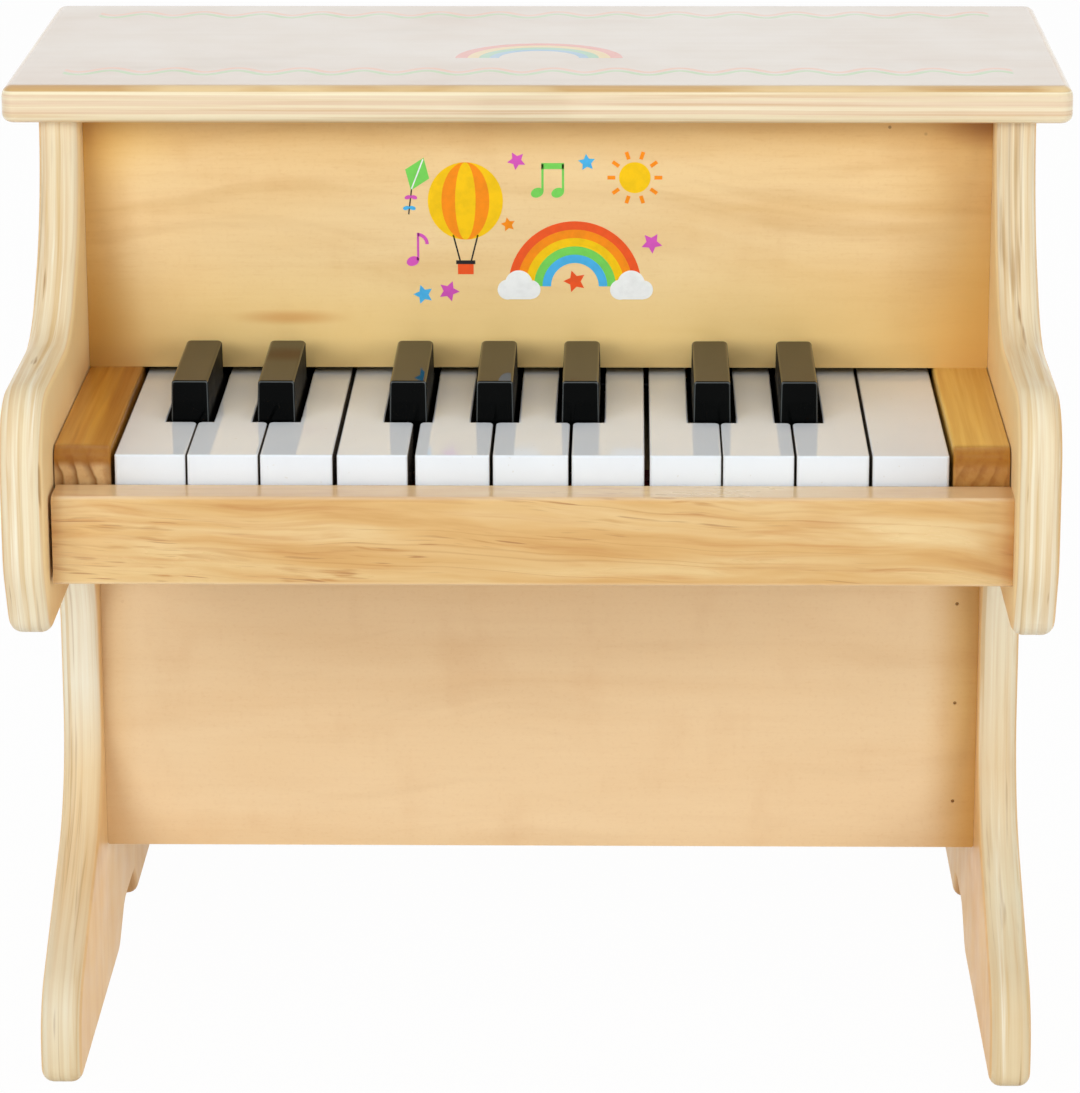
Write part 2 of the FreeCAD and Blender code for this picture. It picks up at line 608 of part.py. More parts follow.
def lower_front_panel():
    """Panel under the key bed, nailed to a cleat at each side."""
    back_y = LOWER_PANEL_Y + LOWER_PANEL_THICKNESS
    panel = block(PANEL_SPREAD, (LOWER_PANEL_Y, back_y), (LOWER_PANEL_BOTTOM_Z, BED_BOTTOM_Z))
    lower_corners = edges_where(panel, lambda box: box.YLength > LOWER_PANEL_THICKNESS / 2
                                and flat_at(box.ZMin, box.ZMax, LOWER_PANEL_BOTTOM_Z))
    return panel.makeFillet(LOWER_PANEL_CORNER, lower_corners).cut(brad_holes())


def panel_cleat():
    """Batten behind the lower panel, on the right-hand side panel."""
    front_y = LOWER_PANEL_Y + LOWER_PANEL_THICKNESS
    batten = block((SIDE_INNER_X - CLEAT, SIDE_INNER_X), (front_y, front_y + CLEAT),
                   (LOWER_PANEL_BOTTOM_Z + CLEAT_ABOVE_PANEL_BOTTOM, BED_BOTTOM_Z))
    return batten.cut(brad_holes())


def key_bed():
    """Board that carries the keys and their blocks."""
    spread = (-SIDE_INNER_X, SIDE_INNER_X)
    bed = block(spread, (KEYSLIP_BACK_Y, BACK_PANEL_Y), (BED_BOTTOM_Z, BED_TOP_Z))
    return bed.cut(dowel_holes() + [screw_hole(place) for place in back_panel_screw_places()])


def keyslip():
    """Pine rail in front of the keys, with eased long edges at its front."""
    spread = (KEYSLIP_LEFT_GAP - SIDE_INNER_X, SIDE_INNER_X - KEYSLIP_RIGHT_GAP)
    bottom_z = BED_BOTTOM_Z - KEYSLIP_DROP
    top_z = bottom_z + KEYSLIP_HEIGHT
    rail = block(spread, (KEYSLIP_FRONT_Y, KEYSLIP_BACK_Y), (bottom_z, top_z))
    for z, radius in ((top_z, KEYSLIP_TOP_ROUND), (bottom_z, KEYSLIP_BOTTOM_ROUND)):
        front_edge = edges_where(rail, lambda box: box.XLength > SIDE_INNER_X
                                 and flat_at(box.YMin, box.YMax, KEYSLIP_FRONT_Y)
                                 and flat_at(box.ZMin, box.ZMax, z))
        rail = rail.makeFillet(radius, front_edge)
    return rail


def key_block():
    """Pine block at the right-hand end of the keyboard, which holds one end of both axles."""
    spread = (BLOCK_INNER_X, SIDE_INNER_X - KEY_BLOCK_SIDE_GAP)
    cheek = block(spread, (0, BACK_PANEL_Y), (BED_TOP_Z, BLOCK_TOP_Z))
    brow = edges_where(cheek, lambda box: flat_at(box.YMin, box.YMax, 0)
                       and flat_at(box.ZMin, box.ZMax, BLOCK_TOP_Z))
    cheek = cheek.makeFillet(KEY_BLOCK_ROUND, brow)
    inner_edges = edges_where(cheek, lambda box: flat_at(box.XMin, box.XMax, BLOCK_INNER_X)
                              and box.ZMax > BED_TOP_Z + SAME_PLACE
                              and box.YMin < BACK_PANEL_Y - SAME_PLACE)
    cheek = cheek.makeFillet(KEY_BLOCK_EASE, inner_edges)
    seat_radius = AXLE_RADIUS + GLUE_CLEARANCE
    seats = [rod(Vector(BLOCK_INNER_X, y, z), Vector(BLOCK_INNER_X + AXLE_SEAT, y, z), seat_radius)
             for y, z in ((PIVOT_Y, PIVOT_Z), (HAMMER_Y, HAMMER_Z))]
    return cheek.cut(seats + [screw_hole(place) for place in back_panel_screw_places()])


def back_panel():
    """Thin board that closes the back of the action, set in between the side panels."""
    board = block(PANEL_SPREAD, (BACK_PANEL_Y, SCREW_FACE_Y), (BED_BOTTOM_Z, LID_BOTTOM_Z))
    places = back_panel_screw_places() + tone_block_screw_places()
    return board.cut([screw_hole(place) for place in places])


def all_pieces():
    """Every piece of the piano under its name."""
    pieces = {
        "right_side_panel": side_panel(),
        "left_side_panel": mirrored(side_panel()),
        "lid": lid(),
        "upper_front_panel": upper_front_panel(),
        "lower_front_panel": lower_front_panel(),
        "right_panel_cleat": panel_cleat(),
        "left_panel_cleat": mirrored(panel_cleat()),
        "back_panel": back_panel(),
        "key_bed": key_bed(),
        "keyslip": keyslip(),
        "right_key_block": key_block(),
        "left_key_block": mirrored(key_block()),
        "key_axle": axle(PIVOT_Y, PIVOT_Z),
        "hammer_axle": axle(HAMMER_Y, HAMMER_Z),
        "key_stop_felt": key_stop_felt(),
        "key_rest_rail": action_strip(REST_FRONT_Y, REST_RAIL_DEPTH, BED_TOP_Z, REST_FELT_BOTTOM_Z),
        "key_rest_felt": action_strip(REST_FRONT_Y, REST_RAIL_DEPTH, REST_FELT_BOTTOM_Z, REST_FELT_TOP_Z),
        "tone_block": tone_block(),
        "tone_rods": tone_rods(),
        "tone_block_screws": Part.makeCompound([screw(place) for place in tone_block_screw_places()]),
        "back_panel_screws": Part.makeCompound([screw(place) for place in back_panel_screw_places()]),
        "panel_brads": Part.makeCompound([rod(front, tip, BRAD_RADIUS) for front, tip in brad_ends()]),
        "case_dowels": Part.makeCompound([rod(start, end, DOWEL_RADIUS) for start, end in dowel_ends()]),
    }
    for number, edges in enumerate(white_edges(), 1):
        pieces[f"white_key_{number:02d}"] = white_key(*edges)
    for number, middle in enumerate(black_centres().values(), 1):
        pieces[f"black_key_{number:02d}"] = black_key(middle)
    for number, middle in enumerate(lever_centres(), 1):
        pieces[f"hammer_{number:02d}"] = hammer(middle)
    return pieces


os.makedirs("parts", exist_ok=True)
for name, piece in all_pieces().items():
    piece.translate(ORIGIN_SHIFT)
    piece.exportStep(f"parts/{name}.step")
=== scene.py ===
import math

import bmesh
import bpy
from mathutils import Matrix, Vector


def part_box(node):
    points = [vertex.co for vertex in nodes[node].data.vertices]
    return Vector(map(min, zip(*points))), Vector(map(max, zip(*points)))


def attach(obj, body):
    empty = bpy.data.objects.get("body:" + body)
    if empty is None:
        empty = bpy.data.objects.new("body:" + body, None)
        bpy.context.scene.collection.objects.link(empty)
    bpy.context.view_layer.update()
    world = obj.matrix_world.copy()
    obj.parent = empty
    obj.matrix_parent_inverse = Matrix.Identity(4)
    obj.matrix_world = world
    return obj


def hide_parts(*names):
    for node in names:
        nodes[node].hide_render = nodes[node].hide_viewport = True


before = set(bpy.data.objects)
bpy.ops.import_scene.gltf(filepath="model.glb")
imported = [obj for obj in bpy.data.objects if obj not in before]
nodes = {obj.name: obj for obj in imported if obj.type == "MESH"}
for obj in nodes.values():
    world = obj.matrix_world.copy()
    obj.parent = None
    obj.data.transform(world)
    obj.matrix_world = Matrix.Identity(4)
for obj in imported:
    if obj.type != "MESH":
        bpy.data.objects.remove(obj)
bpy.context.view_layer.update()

# Looks of the toy piano: wood and lacquer finishes, a printed front, screw heads, light and camera.
# Metres, in the piano's own frame: X along the keyboard, Y towards the back, Z up from the floor.
MM = 0.001
scene = bpy.context.scene

# Places read from the piano
lid_low, lid_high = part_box("lid")
side_low, side_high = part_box("right_side_panel")
panel_low, panel_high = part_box("upper_front_panel")
slip_low, slip_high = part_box("keyslip")
block_low, block_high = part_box("right_key_block")
white_low, white_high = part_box("white_key_01")
black_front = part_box("black_key_01")[0].y
back_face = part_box("back_panel")[1].y
key_top = white_high.z


def tone(red, green, blue):
    """Colour given as 0 to 255 on screen, for a socket that takes linear light."""
    shares = [channel / 255 for channel in (red, green, blue)]
    return [s / 12.92 if s <= 0.04045 else ((s + 0.055) / 1.055) ** 2.4 for s in shares] + [1.0]


# Finishes
class Finish:
    """A material in the making: one lacquered or bare surface, and the nodes that pattern it."""

    def __init__(self, name, **surface):
        self.material = bpy.data.materials.new(name)
        self.material.use_nodes = True
        self.tree = self.material.node_tree
        self.shader = self.tree.nodes["Principled BSDF"]
        self.place = self.tree.nodes.new("ShaderNodeTexCoord").outputs["Object"]
        split = self.node("SeparateXYZ", {"Vector": self.place})
        self.x, self.y, self.z = split.outputs
        for socket, value in surface.items():
            self.shader.inputs[socket.replace("_", " ")].default_value = value

    def feed(self, socket, value):
        """Link or set one input."""
        if isinstance(value, bpy.types.NodeSocket):
            self.tree.links.new(value, socket)
        else:
            socket.default_value = value

    def node(self, kind, inputs, **settings):
        """Add a node, with its settings made before its inputs are fed."""
        made = self.tree.nodes.new("ShaderNode" + kind)
        for name, value in settings.items():
            setattr(made, name, value)
        for socket, value in inputs.items():
            self.feed(made.inputs[socket], value)
        return made

    def sum(self, operation, *values):
        """One step of arithmetic."""
        return self.node("Math", dict(enumerate(values)), operation=operation).outputs[0]

    def distance(self, *offsets):
        """Length of two offsets at right angles."""
        squares = [self.sum("POWER", offset, 2.0) for offset in offsets]
        return self.sum("SQRT", self.sum("ADD", *squares))

    def oval(self, x, z, half_length, half_height):
        """Distance from the middle of an oval on an upright board, 1 at its rim."""
        across = self.sum("DIVIDE", self.sum("SUBTRACT", self.x, x), half_length)
        up = self.sum("DIVIDE", self.sum("SUBTRACT", self.z, z), half_height)
        return self.distance(across, up)

    def lifted(self, rise):
        """Places with a rise added to their height, which bends a level grain."""
        height = self.sum("ADD", self.z, rise)
        return self.node("CombineXYZ", {0: self.x, 1: self.y, 2: height}).outputs[0]

    def cloud(self, per_metre, detail=4.0, rough=0.55, warp=0.0, shift=(0, 0, 0), place=None):
        """Soft noise around 0.5, with so many clouds to the metre along each axis."""
        spread = self.node("Mapping", {"Vector": place or self.place, "Location": shift, "Scale": per_metre})
        return self.node("TexNoise", {"Vector": spread.outputs[0], "Scale": 1.0, "Detail": detail,
                                      "Roughness": rough, "Distortion": warp}).outputs[0]

    def step(self, value, low, high, least=0.0, most=1.0):
        """Smooth rise from least to most as a value goes from low to high."""
        return self.node("MapRange", {"Value": value, "From Min": low, "From Max": high,
                                      "To Min": least, "To Max": most},
                         interpolation_type="SMOOTHSTEP").outputs[0]

    def polish(self, noise, least, most):
        """Roughness that follows a noise from least to most."""
        return self.step(noise, 0.3, 0.7, least, most)

    def ramp(self, value, *stops):
        """Colours along a value."""
        made = self.node("ValToRGB", {"Fac": value})
        elements = made.color_ramp.elements
        while len(elements) < len(stops):
            elements.new(1.0)
        for element, (position, colour) in zip(elements, stops):
            element.position = position
            element.color = tone(*colour)
        return made.outputs[0]

    def blend(self, share, under, over, way="MIX"):
        """Lay one colour over another."""
        made = self.node("Mix", {0: share, 6: under, 7: over}, data_type="RGBA", blend_type=way)
        return made.outputs[2]

    def wash(self, under, value, low, high, share, over, way="MIX", within=None):
        """Lay a colour over another as a value goes from low to high, up to a share of it, and within a
        mask if one is given."""
        cover = self.step(value, low, high, 0.0, share)
        if within is not None:
            cover = self.sum("MULTIPLY", cover, within)
        return self.blend(cover, under, tone(*over), way)

    def done(self, colour, roughness, height, depth):
        """Join the pattern to the surface, with relief of a depth in metres."""
        self.feed(self.shader.inputs["Base Color"], colour)
        self.feed(self.shader.inputs["Roughness"], roughness)
        relief = self.node("Bump", {"Height": height, "Strength": 1.0, "Distance": depth})
        self.feed(self.shader.inputs["Normal"], relief.outputs[0])
        return self.material


FACE_VENEER = (240, 204, 150)
WALL_PAINTED_LIGHT = (250, 222, 168)
PALE_PLY = (242, 225, 191)
ARCH_PAINTED_SHADE = (240, 204, 164)
SIDE_PLIES = (
    (0.0, FACE_VENEER), (0.05, FACE_VENEER), (0.075, (243, 228, 196)), (0.17, (238, 219, 182)),
    (0.19, (229, 203, 160)), (0.29, (233, 210, 170)), (0.31, (244, 231, 203)), (0.43, (240, 224, 190)),
    (0.45, (226, 200, 156)), (0.55, (231, 207, 166)), (0.57, (243, 229, 200)), (0.68, (239, 221, 186)),
    (0.70, (229, 203, 161)), (0.80, (234, 211, 174)), (0.82, (245, 232, 206)), (0.925, (241, 223, 190)),
    (0.945, FACE_VENEER), (1.0, FACE_VENEER),
)
# Start of the noise, its least value that shows, share and colour
EDGE_STREAKS = (
    (2.3, 0.54, 0.55, (220, 184, 124)), (5.1, 0.56, 0.75, (252, 245, 226)), (7.7, 0.59, 0.6, (176, 138, 92)),
)
STREAK_RISE = 0.16
LEG_TOP = 165 * MM
ARCH_TOP = 30 * MM
ARCH_FRONT = 20 * MM
LEFT_LEG_TONES = (
    (0.0, (230, 211, 172)), (0.14, (234, 224, 200)), (0.30, (230, 196, 146)), (0.44, (240, 210, 162)),
    (0.60, (255, 252, 236)), (0.9, (252, 244, 224)),
)
RIGHT_LEG_TONES = (
    (0.0, (228, 205, 160)), (0.13, (218, 192, 148)), (0.28, (238, 230, 200)), (0.45, (224, 198, 158)),
    (0.68, (248, 236, 208)), (0.9, (255, 250, 232)),
)


def side_ply(name, shift, leg_tones):
    """Plywood of a side: veneer faces, the inner face beside the keys made paler as painted light, cut plies
    that run round the edge, a leg that changes tone from the foot up, and painted shade low in the arch."""
    ply = Finish(name, Specular_IOR_Level=0.12)
    width = side_high.x - side_low.x
    depth = ply.sum("DIVIDE", ply.sum("SUBTRACT", ply.sum("ABSOLUTE", ply.x), side_low.x), width)
    inside = ply.step(ply.sum("ABSOLUTE", ply.sum("SUBTRACT", depth, 0.5)), 0.47, 0.42)
    face = ply.sum("SUBTRACT", 1.0, inside)
    sway = ply.step(ply.cloud((20, 16, 16), detail=2.0, shift=shift), 0.25, 0.75, -0.045, 0.045)
    colour = ply.ramp(ply.sum("ADD", depth, ply.sum("MULTIPLY", sway, inside)), *SIDE_PLIES)
    worn = ply.cloud((150, 13, 13), detail=3.0, warp=0.8, shift=shift)
    colour = ply.wash(colour, worn, 0.36, 0.60, 0.8, PALE_PLY, within=inside)
    streaks = ply.cloud((850, 11, 11), detail=3.0, warp=0.4, shift=shift)
    colour = ply.wash(colour, streaks, 0.40, 0.75, 0.45, (226, 194, 146), "MULTIPLY")
    stains = ply.cloud((420, 30, 30), detail=2.0, shift=shift)
    colour = ply.wash(colour, stains, 0.655, 0.75, 0.7, (158, 112, 66), within=inside)
    grain = ply.cloud((300, 150, 9), detail=4.0, warp=0.6)
    colour = ply.wash(colour, grain, 0.38, 0.75, 0.18, (212, 168, 116), "MULTIPLY", within=face)
    # Painted light: the inner face above the leg paler
    above = ply.step(ply.z, LEG_TOP * 0.9, LEG_TOP)
    colour = ply.wash(colour, depth, 0.06, 0.03, 0.8, WALL_PAINTED_LIGHT, within=above)
    down = ply.sum("MULTIPLY", ply.step(ply.z, LEG_TOP, LEG_TOP * 0.8, 0.0, 0.55), inside)
    colour = ply.blend(down, colour, ply.ramp(ply.sum("DIVIDE", ply.z, LEG_TOP), *leg_tones))
    for start, least, share, tint in EDGE_STREAKS:
        streak = ply.cloud((420, 10, 10), detail=3.0, warp=0.7, shift=(start, start, start))
        colour = ply.wash(colour, streak, least, least + STREAK_RISE, share, tint, within=inside)
    # Painted shade low on the cut edges of the arch
    rear = ply.sum("MULTIPLY", ply.step(ply.y, 0.0, ARCH_FRONT), inside)
    colour = ply.wash(colour, ply.z, ARCH_TOP, ARCH_TOP * 0.6, 0.9, ARCH_PAINTED_SHADE, "MULTIPLY", within=rear)
    gloss = ply.polish(ply.cloud((60, 60, 60)), 0.34, 0.48)
    return ply.done(colour, gloss, streaks, 0.03 * MM)


LID_PLIES = (
    (0.0, (226, 190, 142)), (0.05, (232, 203, 160)), (0.09, (246, 230, 194)), (0.25, (242, 225, 190)),
    (0.28, (233, 205, 170)), (0.36, (238, 215, 180)), (0.39, (246, 231, 200)), (0.50, (241, 222, 188)),
    (0.53, (234, 206, 173)), (0.62, (239, 216, 183)), (0.65, (243, 226, 192)), (0.74, (238, 214, 180)),
    (0.76, (240, 220, 186)), (0.79, (248, 236, 202)), (0.835, (248, 235, 200)), (0.865, (206, 166, 102)),
    (0.985, (214, 178, 122)), (0.996, (232, 217, 199)), (1.0, (232, 217, 199)),
)
WAVE_LENGTH = 18.5 * MM
WAVE_TURN = 2 * math.pi / WAVE_LENGTH
WAVE_HEIGHT = 3.2 * MM
WAVE_ENDS = 139 * MM
WAVE_WIDTH = 1.6 * MM
WAVE_COVER = 0.75
WAVE_ORANGE = (250, 160, 116)
WAVE_GREEN = (132, 208, 98)
# Distance from the lid's front edge, and colour
WAVE_LINES = (
    (26.2 * MM, WAVE_ORANGE), (21.8 * MM, WAVE_GREEN), (123.7 * MM, WAVE_ORANGE), (119.3 * MM, WAVE_GREEN),
)
BOW_CENTRE = 46 * MM
BOW_RADIUS = 26 * MM
BOW_BANDS = (
    (0.44, (233, 220, 201)), (0.46, (92, 170, 212)), (0.56, (92, 170, 212)), (0.57, (112, 196, 140)),
    (0.68, (112, 196, 140)), (0.69, (246, 206, 96)), (0.81, (246, 206, 96)), (0.82, (238, 112, 76)),
    (0.96, (238, 112, 76)),
)


def lid_ply():
    """Plywood lid under gloss lacquer, with wavy border lines and a rainbow printed on its top."""
    ply = Finish("lid_ply", Coat_Weight=1.0, Coat_Roughness=0.06, Coat_IOR=1.45)
    depth = ply.sum("DIVIDE", ply.sum("SUBTRACT", ply.z, lid_low.z), lid_high.z - lid_low.z)
    inside = ply.step(depth, 0.84, 0.70)
    sway = ply.step(ply.cloud((9, 9, 20), detail=2.0), 0.25, 0.75, -0.035, 0.035)
    colour = ply.ramp(ply.sum("ADD", depth, ply.sum("MULTIPLY", sway, inside)), *LID_PLIES)
    streaks = ply.cloud((9, 9, 900), detail=3.0, warp=0.4)
    colour = ply.wash(colour, streaks, 0.38, 0.72, 0.5, (222, 186, 140), "MULTIPLY")
    grain = ply.cloud((6, 190, 190), detail=5.0, warp=0.5)
    colour = ply.wash(colour, grain, 0.40, 0.75, 0.10, (216, 188, 152), "MULTIPLY")
    worn = ply.cloud((16, 16, 60), detail=3.0, shift=(2.2, 0.0, 0.0))
    band = ply.sum("MULTIPLY", ply.step(depth, 0.84, 0.87), ply.step(depth, 0.99, 0.98))
    colour = ply.wash(colour, worn, 0.46, 0.62, 0.75, (236, 208, 156), within=band)
    smudge = ply.cloud((14, 26, 1), detail=3.0, shift=(1.7, 0.6, 0))
    colour = ply.wash(colour, smudge, 0.52, 0.74, 0.18, (204, 194, 178), "MULTIPLY")
    top = ply.step(depth, 0.985, 0.992)
    inward = ply.sum("SUBTRACT", ply.y, lid_low.y)
    along = ply.sum("MULTIPLY", ply.x, WAVE_TURN)
    swing = ply.sum("MULTIPLY", ply.sum("SINE", along), WAVE_HEIGHT)
    slope = ply.sum("MULTIPLY", ply.sum("COSINE", along), WAVE_HEIGHT * WAVE_TURN)
    lean = ply.distance(1.0, slope)
    straight = ply.sum("SUBTRACT", inward, swing)
    ends = ply.step(ply.sum("ABSOLUTE", ply.x), WAVE_ENDS, WAVE_ENDS - MM)
    on_top = ply.sum("MULTIPLY", top, ends)
    for line_y, tint in WAVE_LINES:
        away = ply.sum("DIVIDE", ply.sum("ABSOLUTE", ply.sum("SUBTRACT", straight, line_y)), lean)
        colour = ply.wash(colour, away, WAVE_WIDTH, WAVE_WIDTH * 0.5, WAVE_COVER, tint, within=on_top)
    bow_y = ply.sum("SUBTRACT", inward, BOW_CENTRE)
    share = ply.sum("DIVIDE", ply.distance(ply.x, bow_y), BOW_RADIUS)
    bow = ply.sum("MULTIPLY", ply.step(share, 0.45, 0.46), ply.step(share, 0.96, 0.95))
    bow = ply.sum("MULTIPLY", bow, ply.step(bow_y, 0.0, 0.3 * MM))
    colour = ply.blend(ply.sum("MULTIPLY", bow, top), colour, ply.ramp(share, *BOW_BANDS))
    gloss = ply.polish(ply.cloud((45, 45, 45)), 0.28, 0.40)
    return ply.done(colour, gloss, ply.sum("ADD", grain, streaks), 0.02 * MM)


# Pale, warm and dark tone of each front panel
UPPER_TONES = ((249, 218, 164), (240, 202, 142), (208, 158, 94))
LOWER_TONES = ((242, 211, 167), (238, 204, 158), (212, 170, 122))
# Width and share of the painted amber shade at the left, right, top and bottom edge
UPPER_SHADE_RIMS = ((18 * MM, 0.75), (38 * MM, 0.6), (18 * MM, 0.6), (15 * MM, 0.0))
LOWER_SHADE_RIMS = ((12 * MM, 0.3), (18 * MM, 0.9), (14 * MM, 0.4), (8 * MM, 0.1))
RIM_PAINTED_SHADE = (218, 190, 122)
# Small dark marks: x, z and share
UPPER_MARKS = ((102.5 * MM, key_top + 74 * MM, 0.6), (113 * MM, key_top + 72 * MM, 0.25))
MARK_RADIUS = 0.62 * MM
MARK_TONE = (96, 62, 32)
# Soft ovals of stains, painted light and painted shade: x, z, half length, half height, share and colour
UPPER_STAINS_AND_PAINTED_LIGHT = (
    # Painted light: the bottom of the panel paler and warmer
    (0.0, panel_low.z, 500 * MM, 42 * MM, 0.85, (255, 218, 142)),
    # Amber streak in the veneer
    (-73 * MM, key_top + 17 * MM, 21 * MM, 2.9 * MM, 0.72, (226, 164, 92)),
    # Painted shade in the lower left corner
    (-132 * MM, key_top + 12 * MM, 20 * MM, 26 * MM, 0.6, (210, 164, 90)),
    # Paler amber at the top left
    (-132 * MM, key_top + 74 * MM, 40 * MM, 22 * MM, 0.5, (250, 210, 122)),
    # Painted shade in the top right corner, under the lid
    (132 * MM, key_top + 76 * MM, 22 * MM, 10 * MM, 0.75, (186, 128, 58)),
    # Warmer amber at the lower right end
    (131 * MM, key_top + 24 * MM, 16 * MM, 34 * MM, 0.6, (238, 200, 128)),
)
FIGURE_SWAY = 16 * MM


def board_veneer(name, low, high, tones, shift, figured, shade_rims, marks=(), stains=()):
    """Thin veneer of a front panel: fine level grain and a soft wavy figure, as strong as figured says, with
    stains, painted light and painted shade in soft ovals, painted amber shade along the edges, and a few
    marks."""
    pale, warm, dark = tones
    veneer = Finish(name, Coat_Weight=0.2, Coat_Roughness=0.2, Specular_IOR_Level=0.3)
    bands = veneer.cloud((5, 30, 30), detail=3.0, rough=0.5, warp=1.0, shift=shift)
    colour = veneer.ramp(bands, (0.28, warm), (0.5, pale), (0.72, warm))
    drift = veneer.cloud((7, 7, 9), detail=2.0, shift=shift)
    colour = veneer.wash(colour, drift, 0.35, 0.7, 0.4, warm)
    grain = veneer.cloud((16, 300, 420), detail=5.0, rough=0.65, shift=shift)
    colour = veneer.wash(colour, grain, 0.42, 0.78, 0.16 * figured, dark, "MULTIPLY")
    sway = veneer.cloud((7, 9, 11), detail=1.0, shift=shift)
    flow = veneer.lifted(veneer.step(sway, 0.2, 0.8, -FIGURE_SWAY, FIGURE_SWAY))
    figure = veneer.cloud((7, 30, 95), detail=3.0, warp=0.3, shift=shift, place=flow)
    colour = veneer.wash(colour, figure, 0.52, 0.70, 0.42 * figured, dark)
    colour = veneer.wash(colour, figure, 0.48, 0.30, 0.6 * figured, pale)
    fleck = veneer.cloud((130, 400, 1000), detail=2.0, shift=shift)
    colour = veneer.wash(colour, fleck, 0.54, 0.74, 0.12 * figured, dark, "MULTIPLY")
    speckle = veneer.cloud((700, 700, 1100), detail=2.0)
    colour = veneer.wash(colour, speckle, 0.5, 0.75, 0.08, dark, "MULTIPLY")
    blotch = veneer.cloud((55, 55, 30), detail=3.0, shift=shift)
    colour = veneer.wash(colour, blotch, 0.5, 0.8, 0.14, dark, "MULTIPLY")
    patch = veneer.cloud((8, 30, 34), detail=3.0, warp=0.5, shift=(shift[0] + 4.0, shift[1], shift[2] + 2.0))
    colour = veneer.wash(colour, patch, 0.48, 0.66, 0.55 * figured, pale)
    # Stains, painted light and painted shade in soft ovals
    for x, z, half_length, half_height, share, stain in stains:
        colour = veneer.wash(colour, veneer.oval(x, z, half_length, half_height), 1.0, 0.1, share, stain)
    # Painted amber shade along the ends, top and bottom of the panel
    edges = ((veneer.x, low.x, 1), (veneer.x, high.x, -1), (veneer.z, high.z, -1), (veneer.z, low.z, 1))
    for (along, edge, inward), (width, share) in zip(edges, shade_rims):
        colour = veneer.wash(colour, along, edge + inward * width, edge, share, RIM_PAINTED_SHADE, "MULTIPLY")
    for x, z, share in marks:
        colour = veneer.wash(colour, veneer.oval(x, z, MARK_RADIUS, MARK_RADIUS), 1.0, 0.5, share, MARK_TONE)
    gloss = veneer.polish(bands, 0.34, 0.46)
    return veneer.done(colour, gloss, grain, 0.03 * MM)


SLIP_TONES = (
    (0.26, (240, 210, 154)), (0.42, (231, 195, 136)), (0.56, (222, 177, 111)), (0.74, (205, 151, 82)),
)
SLIP_SWAY = 2.4 * MM
GRAIN_SLOPE = 0.05


def slip_pine():
    """Pine of the rail in front of the keys: amber and pale patches along a grain that falls a little to
    the right, thin year lines, short brown dashes in clusters, warmer and a little darker towards the bottom,
    painted highlights along the top and the bottom edge, and painted shade at the ends."""
    pine = Finish("slip_pine", Coat_Weight=0.35, Coat_Roughness=0.14)
    sway = pine.cloud((13, 20, 20), detail=2.0, shift=(3.1, 0, 0))
    sway = pine.step(sway, 0.2, 0.8, -SLIP_SWAY, SLIP_SWAY)
    flow = pine.lifted(pine.sum("ADD", sway, pine.sum("MULTIPLY", pine.x, GRAIN_SLOPE)))
    bands = pine.cloud((12, 40, 125), detail=4.0, rough=0.55, warp=0.4, shift=(0.7, 0, 0), place=flow)
    colour = pine.ramp(bands, *SLIP_TONES)
    years = pine.cloud((4, 90, 210), detail=2.0, rough=0.45, warp=0.3, shift=(2.0, 3.0, 0.4), place=flow)
    near = pine.sum("ABSOLUTE", pine.sum("SUBTRACT", years, 0.52))
    fade = pine.step(pine.cloud((9, 30, 60), detail=2.0, shift=(4.0, 1.0, 2.0)), 0.42, 0.62)
    colour = pine.wash(colour, near, 0.03, 0.0, 0.4, (196, 140, 72), within=fade)
    streak = pine.cloud((20, 200, 420), detail=4.0, rough=0.6, warp=0.5, shift=(2.0, 0.4, 7.0), place=flow)
    colour = pine.wash(colour, streak, 0.48, 0.80, 0.5, (220, 168, 100), "MULTIPLY")
    cluster = pine.step(pine.cloud((11, 40, 70), detail=2.0, shift=(6.0, 2.0, 1.0)), 0.40, 0.60)
    fibre = pine.cloud((48, 300, 620), detail=2.0, warp=0.3, shift=(1.0, 6.0, 2.0), place=flow)
    colour = pine.wash(colour, fibre, 0.56, 0.70, 0.75, (192, 134, 66), within=cluster)
    fleck = pine.cloud((70, 500, 1500), detail=1.0, shift=(5, 1, 3), place=flow)
    colour = pine.wash(colour, fleck, 0.62, 0.74, 0.75, (166, 106, 52), within=cluster)
    # Warmer and a little darker towards the bottom
    up = pine.sum("SUBTRACT", pine.z, slip_low.z)
    colour = pine.wash(colour, up, 14 * MM, 6 * MM, 0.55, (242, 230, 208), "MULTIPLY")
    # Painted highlight: the top face and top edge paler
    down = pine.sum("SUBTRACT", slip_high.z, pine.z)
    colour = pine.wash(colour, down, 1.0 * MM, 0.2 * MM, 0.35, (238, 218, 190))
    # Painted highlight along the bottom edge
    colour = pine.wash(colour, up, 1.2 * MM, 0.4 * MM, 0.45, (246, 214, 168))
    # Painted shade at both ends, beside the side panels
    from_end = pine.sum("SUBTRACT", slip_high.x, pine.sum("ABSOLUTE", pine.x))
    colour = pine.wash(colour, from_end, 5 * MM, 0.0, 0.6, (222, 190, 138), "MULTIPLY")
    gloss = pine.polish(bands, 0.26, 0.38)
    return pine.done(colour, gloss, pine.sum("ADD", bands, streak), 0.05 * MM)


RING_WIDTH = 4.3 * MM
RING_WAVER = 2.2 * MM
LATE_WOOD = ((0.0, (0, 0, 0)), (0.4, (40, 40, 40)), (0.86, (255, 255, 255)), (1.0, (0, 0, 0)))


